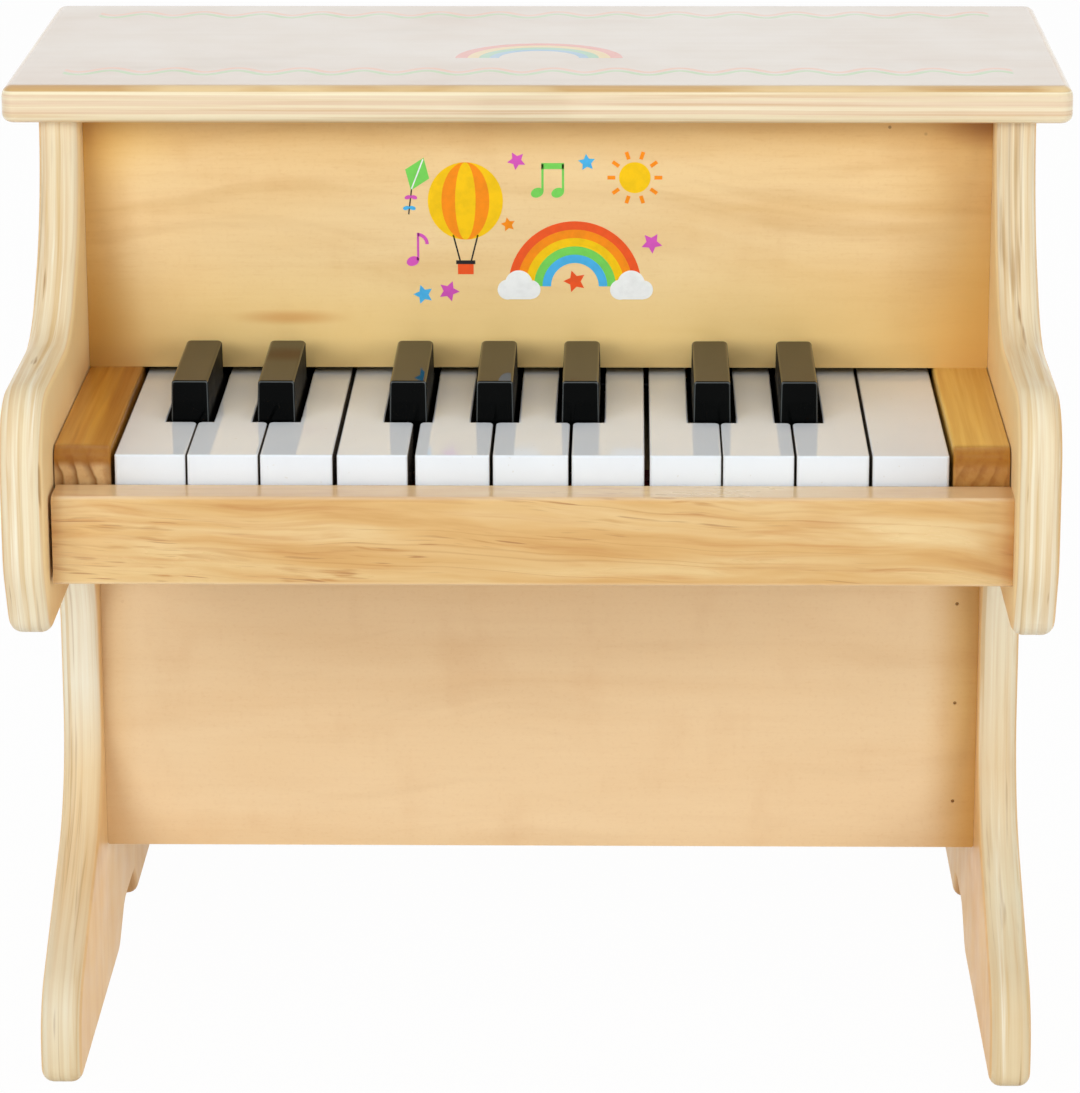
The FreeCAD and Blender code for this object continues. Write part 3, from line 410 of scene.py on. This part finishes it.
def cheek_pine(name, pale, dark, end_pale, end_dark, painted_end_shade, ring_x, ring_z):
    """Pine of a key block: streaks along its top, and growth rings that show as curved bands on its end,
    under a band of painted shade along the top of the end."""
    pine = Finish(name, Coat_Weight=0.15, Coat_Roughness=0.16, Specular_IOR_Level=0.3)
    waver = pine.step(pine.cloud((45, 9, 45), detail=3.0), 0.2, 0.8, -RING_WAVER, RING_WAVER)
    radius = pine.distance(pine.sum("SUBTRACT", pine.x, ring_x), pine.sum("SUBTRACT", pine.z, ring_z))
    year = pine.sum("FRACT", pine.sum("DIVIDE", pine.sum("ADD", radius, waver), RING_WIDTH))
    late = pine.ramp(year, *LATE_WOOD)
    streak = pine.cloud((170, 7, 170), detail=3.0, rough=0.5, warp=0.4)
    along = pine.wash(tone(*pale), streak, 0.34, 0.68, 1.0, dark)
    along = pine.blend(pine.sum("MULTIPLY", late, 0.35), along, tone(*dark))
    rings = pine.blend(late, tone(*end_pale), tone(*end_dark))
    # Painted shade along the top of the end
    rings = pine.wash(rings, pine.z, block_high.z - 6.0 * MM, block_high.z - 3.5 * MM, 0.95, painted_end_shade)
    end = pine.step(pine.y, block_low.y + 6.5 * MM, block_low.y + 0.4 * MM)
    colour = pine.blend(end, along, rings)
    fibre = pine.cloud((420, 8, 420), detail=4.0, rough=0.6)
    colour = pine.wash(colour, fibre, 0.38, 0.75, 0.35, (206, 150, 88), "MULTIPLY")
    gloss = pine.polish(fibre, 0.28, 0.40)
    return pine.done(colour, gloss, fibre, 0.04 * MM)


# Colour of the painted highlight on the front edges of black keys
EDGE_PAINTED_HIGHLIGHT = (112, 116, 116)


def key_lacquer(name, colour, tint, dust, side_painted_shade, side_gloss, painted_edge_highlight, **surface):
    """Gloss lacquer on a key: a faint ripple, a slight change of tone, a little dust, sides that are
    duller than its top and front and darker with painted shade, and a painted highlight on the front
    edges of a black key."""
    lacquer = Finish(name, **surface)
    drift = lacquer.cloud((30, 22, 30), detail=3.0)
    shade = lacquer.wash(tone(*colour), drift, 0.35, 0.7, 1.0, tint)
    specks = lacquer.cloud((900, 900, 900), detail=1.0)
    shade = lacquer.wash(shade, specks, 0.74, 0.80, 0.35, dust)
    facing = lacquer.node("SeparateXYZ", {0: lacquer.node("NewGeometry", {}).outputs["Normal"]}).outputs
    across, along, up = [lacquer.sum("ABSOLUTE", axis) for axis in facing]
    squarest = lacquer.sum("MAXIMUM", lacquer.sum("MAXIMUM", across, along), up)
    front = lacquer.step(lacquer.y, black_front + 2.5 * MM, black_front + 1.5 * MM)
    # Painted highlight on the front edges
    shade = lacquer.wash(shade, squarest, 0.90, 0.72, painted_edge_highlight, EDGE_PAINTED_HIGHLIGHT, within=front)
    sides = lacquer.step(across, 0.80, 0.96)
    # Painted shade: the sides darker, for the shade in the gaps between keys
    shade = lacquer.blend(sides, shade, tone(*side_painted_shade), "MULTIPLY")
    gloss = lacquer.polish(lacquer.cloud((120, 60, 120)), 0.03, 0.09)
    gloss = lacquer.sum("ADD", gloss, lacquer.sum("MULTIPLY", sides, side_gloss))
    return lacquer.done(shade, gloss, lacquer.cloud((70, 45, 70), detail=2.0), 0.02 * MM)


def plain_wood(name, pale, dark, per_metre):
    """Unlacquered wood with straight grain."""
    wood = Finish(name, Specular_IOR_Level=0.35)
    grain = wood.cloud(per_metre, detail=5.0, rough=0.62, warp=0.7)
    colour = wood.ramp(grain, (0.3, dark), (0.52, pale), (0.75, dark))
    pores = wood.cloud(tuple(3 * rate for rate in per_metre), detail=2.0)
    colour = wood.wash(colour, pores, 0.62, 0.74, 0.45, dark, "MULTIPLY")
    gloss = wood.polish(grain, 0.52, 0.68)
    return wood.done(colour, gloss, grain, 0.06 * MM)


def drawn_steel(name, dark, bright, stain):
    """Drawn steel of rods, axles, brads and screws."""
    steel = Finish(name, Metallic=1.0)
    draw = steel.cloud((30, 900, 900), detail=3.0)
    colour = steel.ramp(draw, (0.3, dark), (0.7, bright))
    spots = steel.cloud((160, 160, 160), detail=4.0)
    colour = steel.wash(colour, spots, 0.62, 0.76, 0.4, stain)
    gloss = steel.polish(steel.cloud((90, 90, 90)), 0.24, 0.42)
    return steel.done(colour, gloss, draw, 0.01 * MM)


def cast_iron():
    """Black, slightly grainy casting of the tone block."""
    iron = Finish("cast_iron", Metallic=0.6)
    grit = iron.cloud((700, 700, 700), detail=4.0, rough=0.7)
    colour = iron.ramp(grit, (0.3, (38, 38, 40)), (0.75, (66, 65, 66)))
    gloss = iron.polish(grit, 0.5, 0.7)
    return iron.done(colour, gloss, grit, 0.12 * MM)


def red_felt():
    """Pressed felt with short crossing fibres."""
    felt = Finish("red_felt", Sheen_Weight=0.6, Sheen_Roughness=0.4, Specular_IOR_Level=0.1)
    fibre = felt.cloud((500, 800, 800), detail=6.0, rough=0.75, warp=2.0)
    colour = felt.ramp(fibre, (0.3, (104, 22, 24)), (0.7, (152, 46, 42)))
    gloss = felt.polish(fibre, 0.86, 0.98)
    return felt.done(colour, gloss, fibre, 0.2 * MM)


def print_ink(name, colour):
    """Flat printing ink, a little uneven and slightly glossy."""
    ink = Finish(name, Coat_Weight=0.1, Coat_Roughness=0.2, Specular_IOR_Level=0.2)
    deeper = tuple(int(channel * 0.96) for channel in colour)
    cover = ink.cloud((260, 260, 260), detail=4.0, rough=0.65)
    shade = ink.ramp(cover, (0.35, deeper), (0.6, colour))
    gloss = ink.polish(cover, 0.34, 0.46)
    return ink.done(shade, gloss, cover, 0.01 * MM)


def dress(finish, *names):
    """Put a finish on pieces of the piano."""
    for name in names:
        mesh = nodes[name].data
        mesh.materials.clear()
        mesh.materials.append(finish)


def numbered(stem, count):
    """Names of a row of like pieces."""
    return [f"{stem}_{number:02d}" for number in range(1, count + 1)]


bright_steel = drawn_steel("bright_steel", (168, 168, 170), (206, 206, 208), (132, 124, 116))
blued_steel = drawn_steel("blued_steel", (30, 31, 35), (52, 53, 58), (46, 38, 32))
brassed_steel = drawn_steel("brassed_steel", (136, 98, 58), (156, 116, 72), (112, 80, 46))
inner_ply = plain_wood("inner_ply", (236, 208, 164), (222, 188, 140), (5, 60, 170))
inner_pine = plain_wood("inner_pine", (230, 194, 140), (204, 156, 98), (120, 120, 9))
beech = plain_wood("beech", (214, 172, 126), (178, 130, 88), (160, 160, 24))
upper_veneer = board_veneer("upper_veneer", panel_low, panel_high, UPPER_TONES, (0, 0, 0), 0.7,
                            UPPER_SHADE_RIMS, UPPER_MARKS, UPPER_STAINS_AND_PAINTED_LIGHT)
lower_veneer = board_veneer("lower_veneer", *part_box("lower_front_panel"), LOWER_TONES, (3.7, 1.0, 5.2), 0.35,
                            LOWER_SHADE_RIMS)
# The colour after the end tones is the painted shade along the top of each end
left_cheek = cheek_pine("left_cheek_pine", (208, 152, 58), (175, 115, 35), (220, 182, 128), (146, 100, 50),
                        (168, 110, 28), -167.2 * MM, block_low.z + 9 * MM)
right_cheek = cheek_pine("right_cheek_pine", (239, 200, 106), (224, 179, 90), (190, 139, 72), (169, 117, 57),
                         (172, 114, 30), 158 * MM, block_low.z + 4 * MM)
# After the dust: painted shade on the sides, extra roughness of the sides, share of the painted edge highlight
white_lacquer = key_lacquer("white_lacquer", (236, 242, 249), (232, 238, 245), (206, 202, 192),
                            (164, 150, 136), 0.15, 0.0, IOR=1.45)
black_lacquer = key_lacquer("black_lacquer", (3, 4, 4), (5, 6, 6), (24, 22, 20),
                            (255, 255, 255), 0.5, 0.6, IOR=1.21, Specular_Tint=(0.42, 0.42, 0.42, 1))
dress(side_ply("left_ply", (0.3, 0.9, 1.6), LEFT_LEG_TONES), "left_side_panel")
dress(side_ply("right_ply", (0.0, 0.0, 0.0), RIGHT_LEG_TONES), "right_side_panel")
dress(lid_ply(), "lid")
dress(upper_veneer, "upper_front_panel")
dress(lower_veneer, "lower_front_panel")
dress(slip_pine(), "keyslip")
dress(left_cheek, "left_key_block")
dress(right_cheek, "right_key_block")
dress(white_lacquer, *numbered("white_key", 11))
dress(black_lacquer, *numbered("black_key", 7))
dress(inner_ply, "key_bed", "back_panel")
dress(inner_pine, "left_panel_cleat", "right_panel_cleat", "key_rest_rail")
dress(beech, "case_dowels", *numbered("hammer", 18))
dress(bright_steel, "tone_rods", "tone_block_screws", "back_panel_screws")
dress(blued_steel, "key_axle", "hammer_axle")
dress(brassed_steel, "panel_brads")
dress(cast_iron(), "tone_block")
dress(red_felt(), "key_stop_felt", "key_rest_felt")


# New pieces
def add_piece(name, shape, finishes):
    """Make an object of a finished shape, and let it ride on the case."""
    bmesh.ops.remove_doubles(shape, verts=shape.verts, dist=1e-7)
    bmesh.ops.recalc_face_normals(shape, faces=shape.faces)
    mesh = bpy.data.meshes.new(name)
    shape.to_mesh(mesh)
    shape.free()
    for finish in finishes:
        mesh.materials.append(finish)
    piece = bpy.data.objects.new(name, mesh)
    scene.collection.objects.link(piece)
    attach(piece, "case")
    return piece


# Print on the upper panel. Motifs are drawn in millimetres on a flat sheet, then stood against the panel.
PRINT_CENTRE = Vector((-2 * MM, panel_low.y, key_top + 43.5 * MM))
LAYER = 0.04
INKS = {
    "orange_red": (246, 90, 34), "orange": (255, 146, 16), "yellow": (255, 204, 8), "green": (122, 216, 92),
    "blue": (78, 184, 238), "magenta": (220, 88, 190), "white": (250, 250, 247), "black": (34, 30, 30),
}
INK_NUMBER = {name: number for number, name in enumerate(INKS)}
BOW_INKS = ("orange_red", "orange", "yellow", "green", "blue")
# x, y, radius, ink and turn
STARS = (
    (-31.5, -19.5, 3.0, "blue", 0.3), (-24.0, -18.5, 3.2, "magenta", 0.9), (-4.0, 20.5, 2.8, "magenta", 0.5),
    (16.5, 20.0, 2.6, "blue", 0.1), (35.5, -4.0, 3.2, "magenta", 0.7), (-6.5, 1.5, 2.2, "orange", 0.2),
    (13.0, -15.5, 3.4, "orange_red", 0.3),
)


def lay(sheet, faces, ink, layer):
    """Give flat faces their ink, and raise them to their layer as closed plates."""
    for face in faces:
        face.material_index = INK_NUMBER[ink]
    raised = bmesh.ops.extrude_face_region(sheet, geom=faces, use_keep_orig=True)
    lifted = [part for part in raised["geom"] if isinstance(part, bmesh.types.BMVert)]
    bmesh.ops.translate(sheet, verts=lifted, vec=(0, 0, LAYER * layer))


def put(x, y, turn=0.0):
    """Place and turn on the sheet."""
    return Matrix.Translation((x, y, 0)) @ Matrix.Rotation(turn, 4, "Z")


def disc(sheet, x, y, radius, ink, layer=1, squash=1.0, turn=0.0, sides=40):
    """Round or oval spot."""
    place = put(x, y, turn) @ Matrix.Diagonal((1, squash, 1, 1))
    made = bmesh.ops.create_circle(sheet, cap_ends=True, radius=radius, segments=sides, matrix=place)
    lay(sheet, list({face for vert in made["verts"] for face in vert.link_faces}), ink, layer)


def star(sheet, x, y, radius, ink, turn=0.0):
    """Five-pointed star."""
    made = bmesh.ops.create_circle(sheet, cap_ends=True, radius=radius, segments=10, matrix=put(x, y, turn))
    inner = [vert for number, vert in enumerate(made["verts"]) if number % 2]
    bmesh.ops.scale(sheet, verts=inner, vec=(0.5, 0.5, 1), space=Matrix.Translation((-x, -y, 0)))
    lay(sheet, made["verts"][0].link_faces[:], ink, 1)


def stroke(sheet, start, end, width, ink, layer=1):
    """Straight stroke of even width."""
    run = Vector(end) - Vector(start)
    middle = (Vector(start) + Vector(end)) / 2
    place = put(middle.x, middle.y, math.atan2(run.y, run.x)) @ Matrix.Diagonal((run.length, width, 1, 1))
    made = bmesh.ops.create_grid(sheet, x_segments=1, y_segments=1, size=0.5, matrix=place)
    lay(sheet, made["verts"][0].link_faces[:], ink, layer)


def bow_band(sheet, x, y, inner, outer, ink, sweep=math.pi):
    """Part of a ring, swept from a short straight edge."""
    ends = [sheet.verts.new((x + reach, y, 0)) for reach in (inner, outer)]
    edge = sheet.edges.new(ends)
    before = set(sheet.faces)
    bmesh.ops.spin(sheet, geom=ends + [edge], cent=(x, y, 0), axis=(0, 0, 1), angle=sweep, steps=36)
    lay(sheet, [face for face in sheet.faces if face not in before], ink, 1)


NOTE_HEIGHT = 8.5
NOTE_RADIUS = 1.9
NOTE_SQUASH = 0.74
NOTE_LEAN = 0.4
STEM_OFFSET = 1.55
STEM_WIDTH = 0.65


def head_and_stem(sheet, x, y, ink, height):
    """Leaning head of a note, with its stem."""
    stem = x + STEM_OFFSET
    disc(sheet, x, y, NOTE_RADIUS, ink, squash=NOTE_SQUASH, turn=NOTE_LEAN)
    stroke(sheet, (stem, y + 0.3), (stem, y + height), STEM_WIDTH, ink)


def note(sheet, x, y, ink, height=NOTE_HEIGHT):
    """Quaver: a head, a stem and a flag."""
    head_and_stem(sheet, x, y, ink, height)
    bow_band(sheet, x + 1.3, y + height - 3.4, 2.4, 3.4, ink, sweep=1.5)


def beamed_notes(sheet, x, y, ink, apart=6.0, height=NOTE_HEIGHT):
    """Two quavers under one beam."""
    for offset in (0.0, apart):
        head_and_stem(sheet, x + offset, y, ink, height)
    beam = y + height - 0.6
    stroke(sheet, (x + 1.25, beam), (x + apart + 1.85, beam), 1.8, ink)


def puff(sheet, x, y, size):
    """Small cloud of three rounds on a flat base."""
    left = x - 0.8 * size
    right = x + 0.9 * size
    base = y - 0.36 * size
    disc(sheet, left, y, 0.75 * size, "white", 2)
    disc(sheet, x, y + 0.45 * size, size, "white", 3)
    disc(sheet, right, y, 0.7 * size, "white", 2)
    stroke(sheet, (left, base), (right, base), 0.72 * size, "white", 4)


def rainbow(sheet, x=13.0, y=-17.0, reach=19.5, band=2.5):
    """Rainbow that stands on two clouds."""
    for number, ink in enumerate(BOW_INKS):
        outer = reach - band * number
        bow_band(sheet, x, y, outer - band, outer, ink)
    for side in (-1, 1):
        puff(sheet, x + 16.5 * side, y - 1.0, 4.0)


def air_balloon(sheet, x=-19.0, y=8.5):
    """Striped balloon with a small basket."""
    disc(sheet, x, y, 11.0, "yellow", squash=1.05)
    disc(sheet, x, y, 7.0, "orange", 2, squash=1.65)
    disc(sheet, x, y, 3.0, "yellow", 3, squash=3.85)
    for side in (-1, 1):
        stroke(sheet, (x + 3.6 * side, y - 10.1), (x + 1.6 * side, y - 18.0), 0.45, "black")
    stroke(sheet, (x - 2.3, y - 19.9), (x + 2.3, y - 19.9), 4.0, "orange_red", 2)
    stroke(sheet, (x - 2.8, y - 18.3), (x + 2.8, y - 18.3), 1.1, "black", 3)


def sun(sheet, x=30.5, y=15.5, rays=10):
    """Sun with short rays."""
    middle = Vector((x, y))
    disc(sheet, x, y, 4.6, "yellow")
    for number in range(rays):
        turn = number * 2 * math.pi / rays
        ray = Vector((math.cos(turn), math.sin(turn)))
        stroke(sheet, middle + ray * 5.7, middle + ray * 8.0, 1.1, "orange")


def kite(sheet):
    """Green kite with a bowed tail."""
    foot = (-34.7, 12.1)
    disc(sheet, -33.0, 16.5, 5.2, "green", squash=0.72, turn=1.2, sides=4)
    stroke(sheet, foot, (-31.3, 20.9), 0.4, "white", 2)
    stroke(sheet, foot, (-35.6, 4.5), 0.4, "black")
    for x, y, ink in ((-34.9, 9.6, "magenta"), (-35.4, 6.4, "blue")):
        for side in (-1, 1):
            disc(sheet, x + 0.9 * side, y, 1.0, ink, 2, squash=0.6, turn=-0.3 * side, sides=12)


def front_print():
    """Whole print on the upper panel."""
    sheet = bmesh.new()
    rainbow(sheet)
    air_balloon(sheet)
    sun(sheet)
    kite(sheet)
    beamed_notes(sheet, 2.0, 11.0, "green")
    note(sheet, -34.5, -9.5, "magenta")
    for x, y, radius, ink, turn in STARS:
        star(sheet, x, y, radius, ink, turn)
    upright = Matrix.Rotation(math.pi / 2, 4, "X") @ Matrix.Diagonal((MM, MM, MM, 1))
    bmesh.ops.transform(sheet, matrix=Matrix.Translation(PRINT_CENTRE) @ upright, verts=sheet.verts)
    inks = [print_ink("ink_" + name, colour) for name, colour in INKS.items()]
    add_piece("front_print", sheet, inks)


front_print()


# Screws in the back, and filler over the brads on the left
SCREW_RADIUS = 3.2 * MM
SCREW_SIDES = 32
# Rise and reach of each ring of a screw's head, as shares of its height and radius
HEAD_RINGS = ((0.45, 1.0), (0.80, 0.88), (0.97, 0.62))
# The cross cut, as shares of the head's radius, and its floor, as shares of the cut and of the head's height
CROSS_ARM = 0.5
CROSS_HALF_WIDTH = 0.13
CROSS_FLOOR_SIZE = 0.8
CROSS_FLOOR_HEIGHT = 0.3
BED_SCREW_SPACING = 95 * MM
BRADS_A_SIDE = 4
BRAD_RADIUS = 0.5 * MM


def cross_screw(shape, place, radius, height):
    """Pan-head screw that faces the back, with a cross cut into its head."""
    made = bmesh.ops.create_circle(shape, cap_ends=False, radius=radius, segments=SCREW_SIDES)
    rim = [edge for edge in shape.edges if edge.verts[0] in made["verts"] and edge.verts[1] in made["verts"]]
    parts = set(made["verts"])
    for lift, reach in HEAD_RINGS:
        raised = bmesh.ops.extrude_edge_only(shape, edges=rim)["geom"]
        ring = [part for part in raised if isinstance(part, bmesh.types.BMVert)]
        rim = [part for part in raised if isinstance(part, bmesh.types.BMEdge)]
        for vert in ring:
            flat = Vector((vert.co.x, vert.co.y, 0)).normalized() * radius * reach
            vert.co = (flat.x, flat.y, height * lift)
        parts.update(ring)
    arm = radius * CROSS_ARM
    half = radius * CROSS_HALF_WIDTH
    corners = ((half, -arm), (half, -half), (arm, -half), (arm, half), (half, half), (half, arm))
    around = [Vector((x, y, height)) for x, y in corners] + [Vector((-x, -y, height)) for x, y in corners]
    cross = [shape.verts.new(corner) for corner in around]
    slot = [shape.edges.new((cross[number], cross[number - 1])) for number in range(len(cross))]
    bmesh.ops.bridge_loops(shape, edges=rim + slot)
    sunk = bmesh.ops.extrude_edge_only(shape, edges=slot)["geom"]
    floor = [part for part in sunk if isinstance(part, bmesh.types.BMVert)]
    for vert in floor:
        across, along = vert.co.xy * CROSS_FLOOR_SIZE
        vert.co = (across, along, height * CROSS_FLOOR_HEIGHT)
    bmesh.ops.contextual_create(shape, geom=[part for part in sunk if isinstance(part, bmesh.types.BMEdge)])
    parts.update(cross, floor)
    stand = Matrix.Translation(place) @ Matrix.Rotation(-math.pi / 2, 4, "X")
    bmesh.ops.transform(shape, matrix=stand, verts=list(parts))


def back_screws(name, node, places):
    """Detailed heads for the screws of one CAD node."""
    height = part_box(node)[1].y - back_face
    shape = bmesh.new()
    for x, z in places:
        cross_screw(shape, Vector((x, back_face, z)), SCREW_RADIUS, height)
    screws = add_piece(name, shape, [bright_steel])
    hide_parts(node)


def screw_rows():
    """Where the screws sit on the back: a row in the tone block, a row in the key bed, one at each side."""
    low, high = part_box("tone_block_screws")
    middle = (low.z + high.z) / 2
    reach = high.x - SCREW_RADIUS
    back_screws("tone_block_screw_heads", "tone_block_screws", [(x, middle) for x in (-reach, 0, reach)])
    low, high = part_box("back_panel_screws")
    side = high.x - SCREW_RADIUS
    row = low.z + SCREW_RADIUS
    top = high.z - SCREW_RADIUS
    bed = [(x, row) for x in (-BED_SCREW_SPACING, 0, BED_SCREW_SPACING)]
    back_screws("back_screw_heads", "back_panel_screws", bed + [(-side, top), (side, top)])


def brad_filler():
    """Wood filler, flush with the panel, over the heads of the brads on the left."""
    low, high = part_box("panel_brads")
    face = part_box("lower_front_panel")[0].y
    rise = (high.z - low.z - 2 * BRAD_RADIUS) / (BRADS_A_SIDE - 1)
    radius = BRAD_RADIUS * 1.02
    depth = low.y - face - 0.02 * MM
    shape = bmesh.new()
    for number in range(BRADS_A_SIDE):
        place = Vector((low.x + BRAD_RADIUS, (face + low.y) / 2, low.z + BRAD_RADIUS + rise * number))
        turn = Matrix.Translation(place) @ Matrix.Rotation(math.pi / 2, 4, "X")
        bmesh.ops.create_cone(shape, cap_ends=True, segments=24, radius1=radius, radius2=radius,
                              depth=depth, matrix=turn)
    filler = plain_wood("wood_filler", (236, 202, 157), (226, 190, 144), (160, 160, 160))
    add_piece("brad_filler", shape, [filler])


screw_rows()
brad_filler()


# Floor, light and camera
FLOOR_SIZE = 6.0
FLOOR_GLOW = 0.975
FLOOR_TONES = ((0.3, (236, 236, 236)), (0.7, (240, 240, 240)))
ROOM_COLOUR = (0.97, 0.99, 1.0, 1)
ROOM_LIGHT = 0.22
WHITE = (1, 1, 1, 1)
COOL = (0.955, 0.985, 1.0)
WARM = (1.0, 0.965, 0.90)
# Name, place, aim, width and height, watts and colour
LAMPS = (
    ("left_lamp", (-1.5, -1.95, 0.8), (0, -0.05, 0.15), (1.5, 1.2), 27, COOL),
    ("right_lamp", (2.0, -1.5, 0.6), (0, -0.05, 0.15), (1.5, 1.2), 20.5, COOL),
    ("front_lamp", (0.1, -2.2, 1.7), (0, 0, 0.15), (2.0, 1.0), 13, COOL),
    ("top_lamp", (0.0, 0.15, 1.9), (0, 0, 0.2), (1.8, 1.5), 10.5, WARM),
    ("rear_left_lamp", (-1.8, 1.7, 0.14), (0, 0, 0.14), (1.6, 0.24), 12, COOL),
    ("rear_right_lamp", (1.8, 1.7, 0.14), (0, 0, 0.14), (1.6, 0.24), 12, COOL),
)
CAMERA_LENS = 154.8
CAMERA_SENSOR = 36.0
CAMERA_REACH = 50.0
CAMERA_PITCH = 0.2821
CAMERA_YAW = -0.0197
CAMERA_ROLL = -0.0029
CAMERA_FROM_KEYS = Vector((0.02706, -1.25358, 0.33729))


def lay_floor():
    """Pale floor that stays white round the piano and keeps its shadow."""
    sheet = bmesh.new()
    bmesh.ops.create_grid(sheet, x_segments=1, y_segments=1, size=FLOOR_SIZE)
    mesh = bpy.data.meshes.new("floor")
    sheet.to_mesh(mesh)
    sheet.free()
    floor = bpy.data.objects.new("floor", mesh)
    scene.collection.objects.link(floor)
    paper = Finish("floor_paper", Roughness=0.9, Specular_IOR_Level=0.0)
    fleck = paper.cloud((40, 40, 40), detail=2.0)
    paper.feed(paper.shader.inputs["Base Color"], paper.ramp(fleck, *FLOOR_TONES))
    rays = paper.node("LightPath", {})
    seen = paper.sum("MAXIMUM", rays.outputs["Is Camera Ray"], rays.outputs["Is Glossy Ray"])
    seen = paper.sum("MAXIMUM", seen, rays.outputs["Is Transmission Ray"])
    share = paper.sum("MULTIPLY", seen, FLOOR_GLOW)
    white = paper.node("Emission", {"Color": WHITE, "Strength": 1.0})
    cover = paper.node("MixShader", {0: share, 1: paper.shader.outputs[0], 2: white.outputs[0]})
    paper.feed(paper.tree.nodes["Material Output"].inputs["Surface"], cover.outputs[0])
    mesh.materials.append(paper.material)


def light_room():
    """White room, with less light in it than the white that the camera sees."""
    world = bpy.data.worlds.new("room")
    scene.world = world
    world.use_nodes = True
    tree = world.node_tree
    room = tree.nodes["Background"]
    room.inputs["Color"].default_value = ROOM_COLOUR
    room.inputs["Strength"].default_value = ROOM_LIGHT
    white = tree.nodes.new("ShaderNodeBackground")
    white.inputs["Color"].default_value = WHITE
    rays = tree.nodes.new("ShaderNodeLightPath")
    seen = rays.outputs["Is Camera Ray"]
    for other in ("Is Glossy Ray", "Is Transmission Ray"):
        either = tree.nodes.new("ShaderNodeMath")
        either.operation = "MAXIMUM"
        tree.links.new(seen, either.inputs[0])
        tree.links.new(rays.outputs[other], either.inputs[1])
        seen = either.outputs[0]
    choice = tree.nodes.new("ShaderNodeMixShader")
    tree.links.new(seen, choice.inputs[0])
    tree.links.new(room.outputs[0], choice.inputs[1])
    tree.links.new(white.outputs[0], choice.inputs[2])
    tree.links.new(choice.outputs[0], tree.nodes["World Output"].inputs["Surface"])


def soft_box(name, place, aim, size, watts, colour):
    """Large soft lamp that faces a point, and is not itself mirrored in the lacquer."""
    lamp = bpy.data.lights.new(name, "AREA")
    lamp.shape = "RECTANGLE"
    lamp.size, lamp.size_y = size
    lamp.energy = watts
    lamp.color = colour
    holder = bpy.data.objects.new(name, lamp)
    scene.collection.objects.link(holder)
    holder.visible_glossy = False
    holder.location = place
    holder.rotation_euler = (Vector(aim) - Vector(place)).to_track_quat("-Z", "Y").to_euler()


def set_camera():
    """Camera where the photographer stood: in front, a little right of the middle, above the lid."""
    camera = bpy.data.cameras.new("camera")
    camera.lens = CAMERA_LENS
    camera.sensor_width = CAMERA_SENSOR
    camera.clip_end = CAMERA_REACH
    holder = bpy.data.objects.new("camera", camera)
    scene.collection.objects.link(holder)
    flat = math.cos(CAMERA_PITCH)
    ahead = Vector((math.sin(CAMERA_YAW) * flat, math.cos(CAMERA_YAW) * flat, -math.sin(CAMERA_PITCH)))
    level = Vector((math.cos(CAMERA_YAW), -math.sin(CAMERA_YAW), 0))
    above = level.cross(ahead)
    right = math.cos(CAMERA_ROLL) * level + math.sin(CAMERA_ROLL) * above
    up = math.cos(CAMERA_ROLL) * above - math.sin(CAMERA_ROLL) * level
    turn = Matrix((right, up, -ahead)).transposed()
    place = Vector((0, white_low.y, key_top)) + CAMERA_FROM_KEYS
    holder.matrix_world = Matrix.Translation(place) @ turn.to_4x4()
    scene.camera = holder


lay_floor()
light_room()
for lamp_facts in LAMPS:
    soft_box(*lamp_facts)
set_camera()
scene.view_settings.view_transform = "Standard"
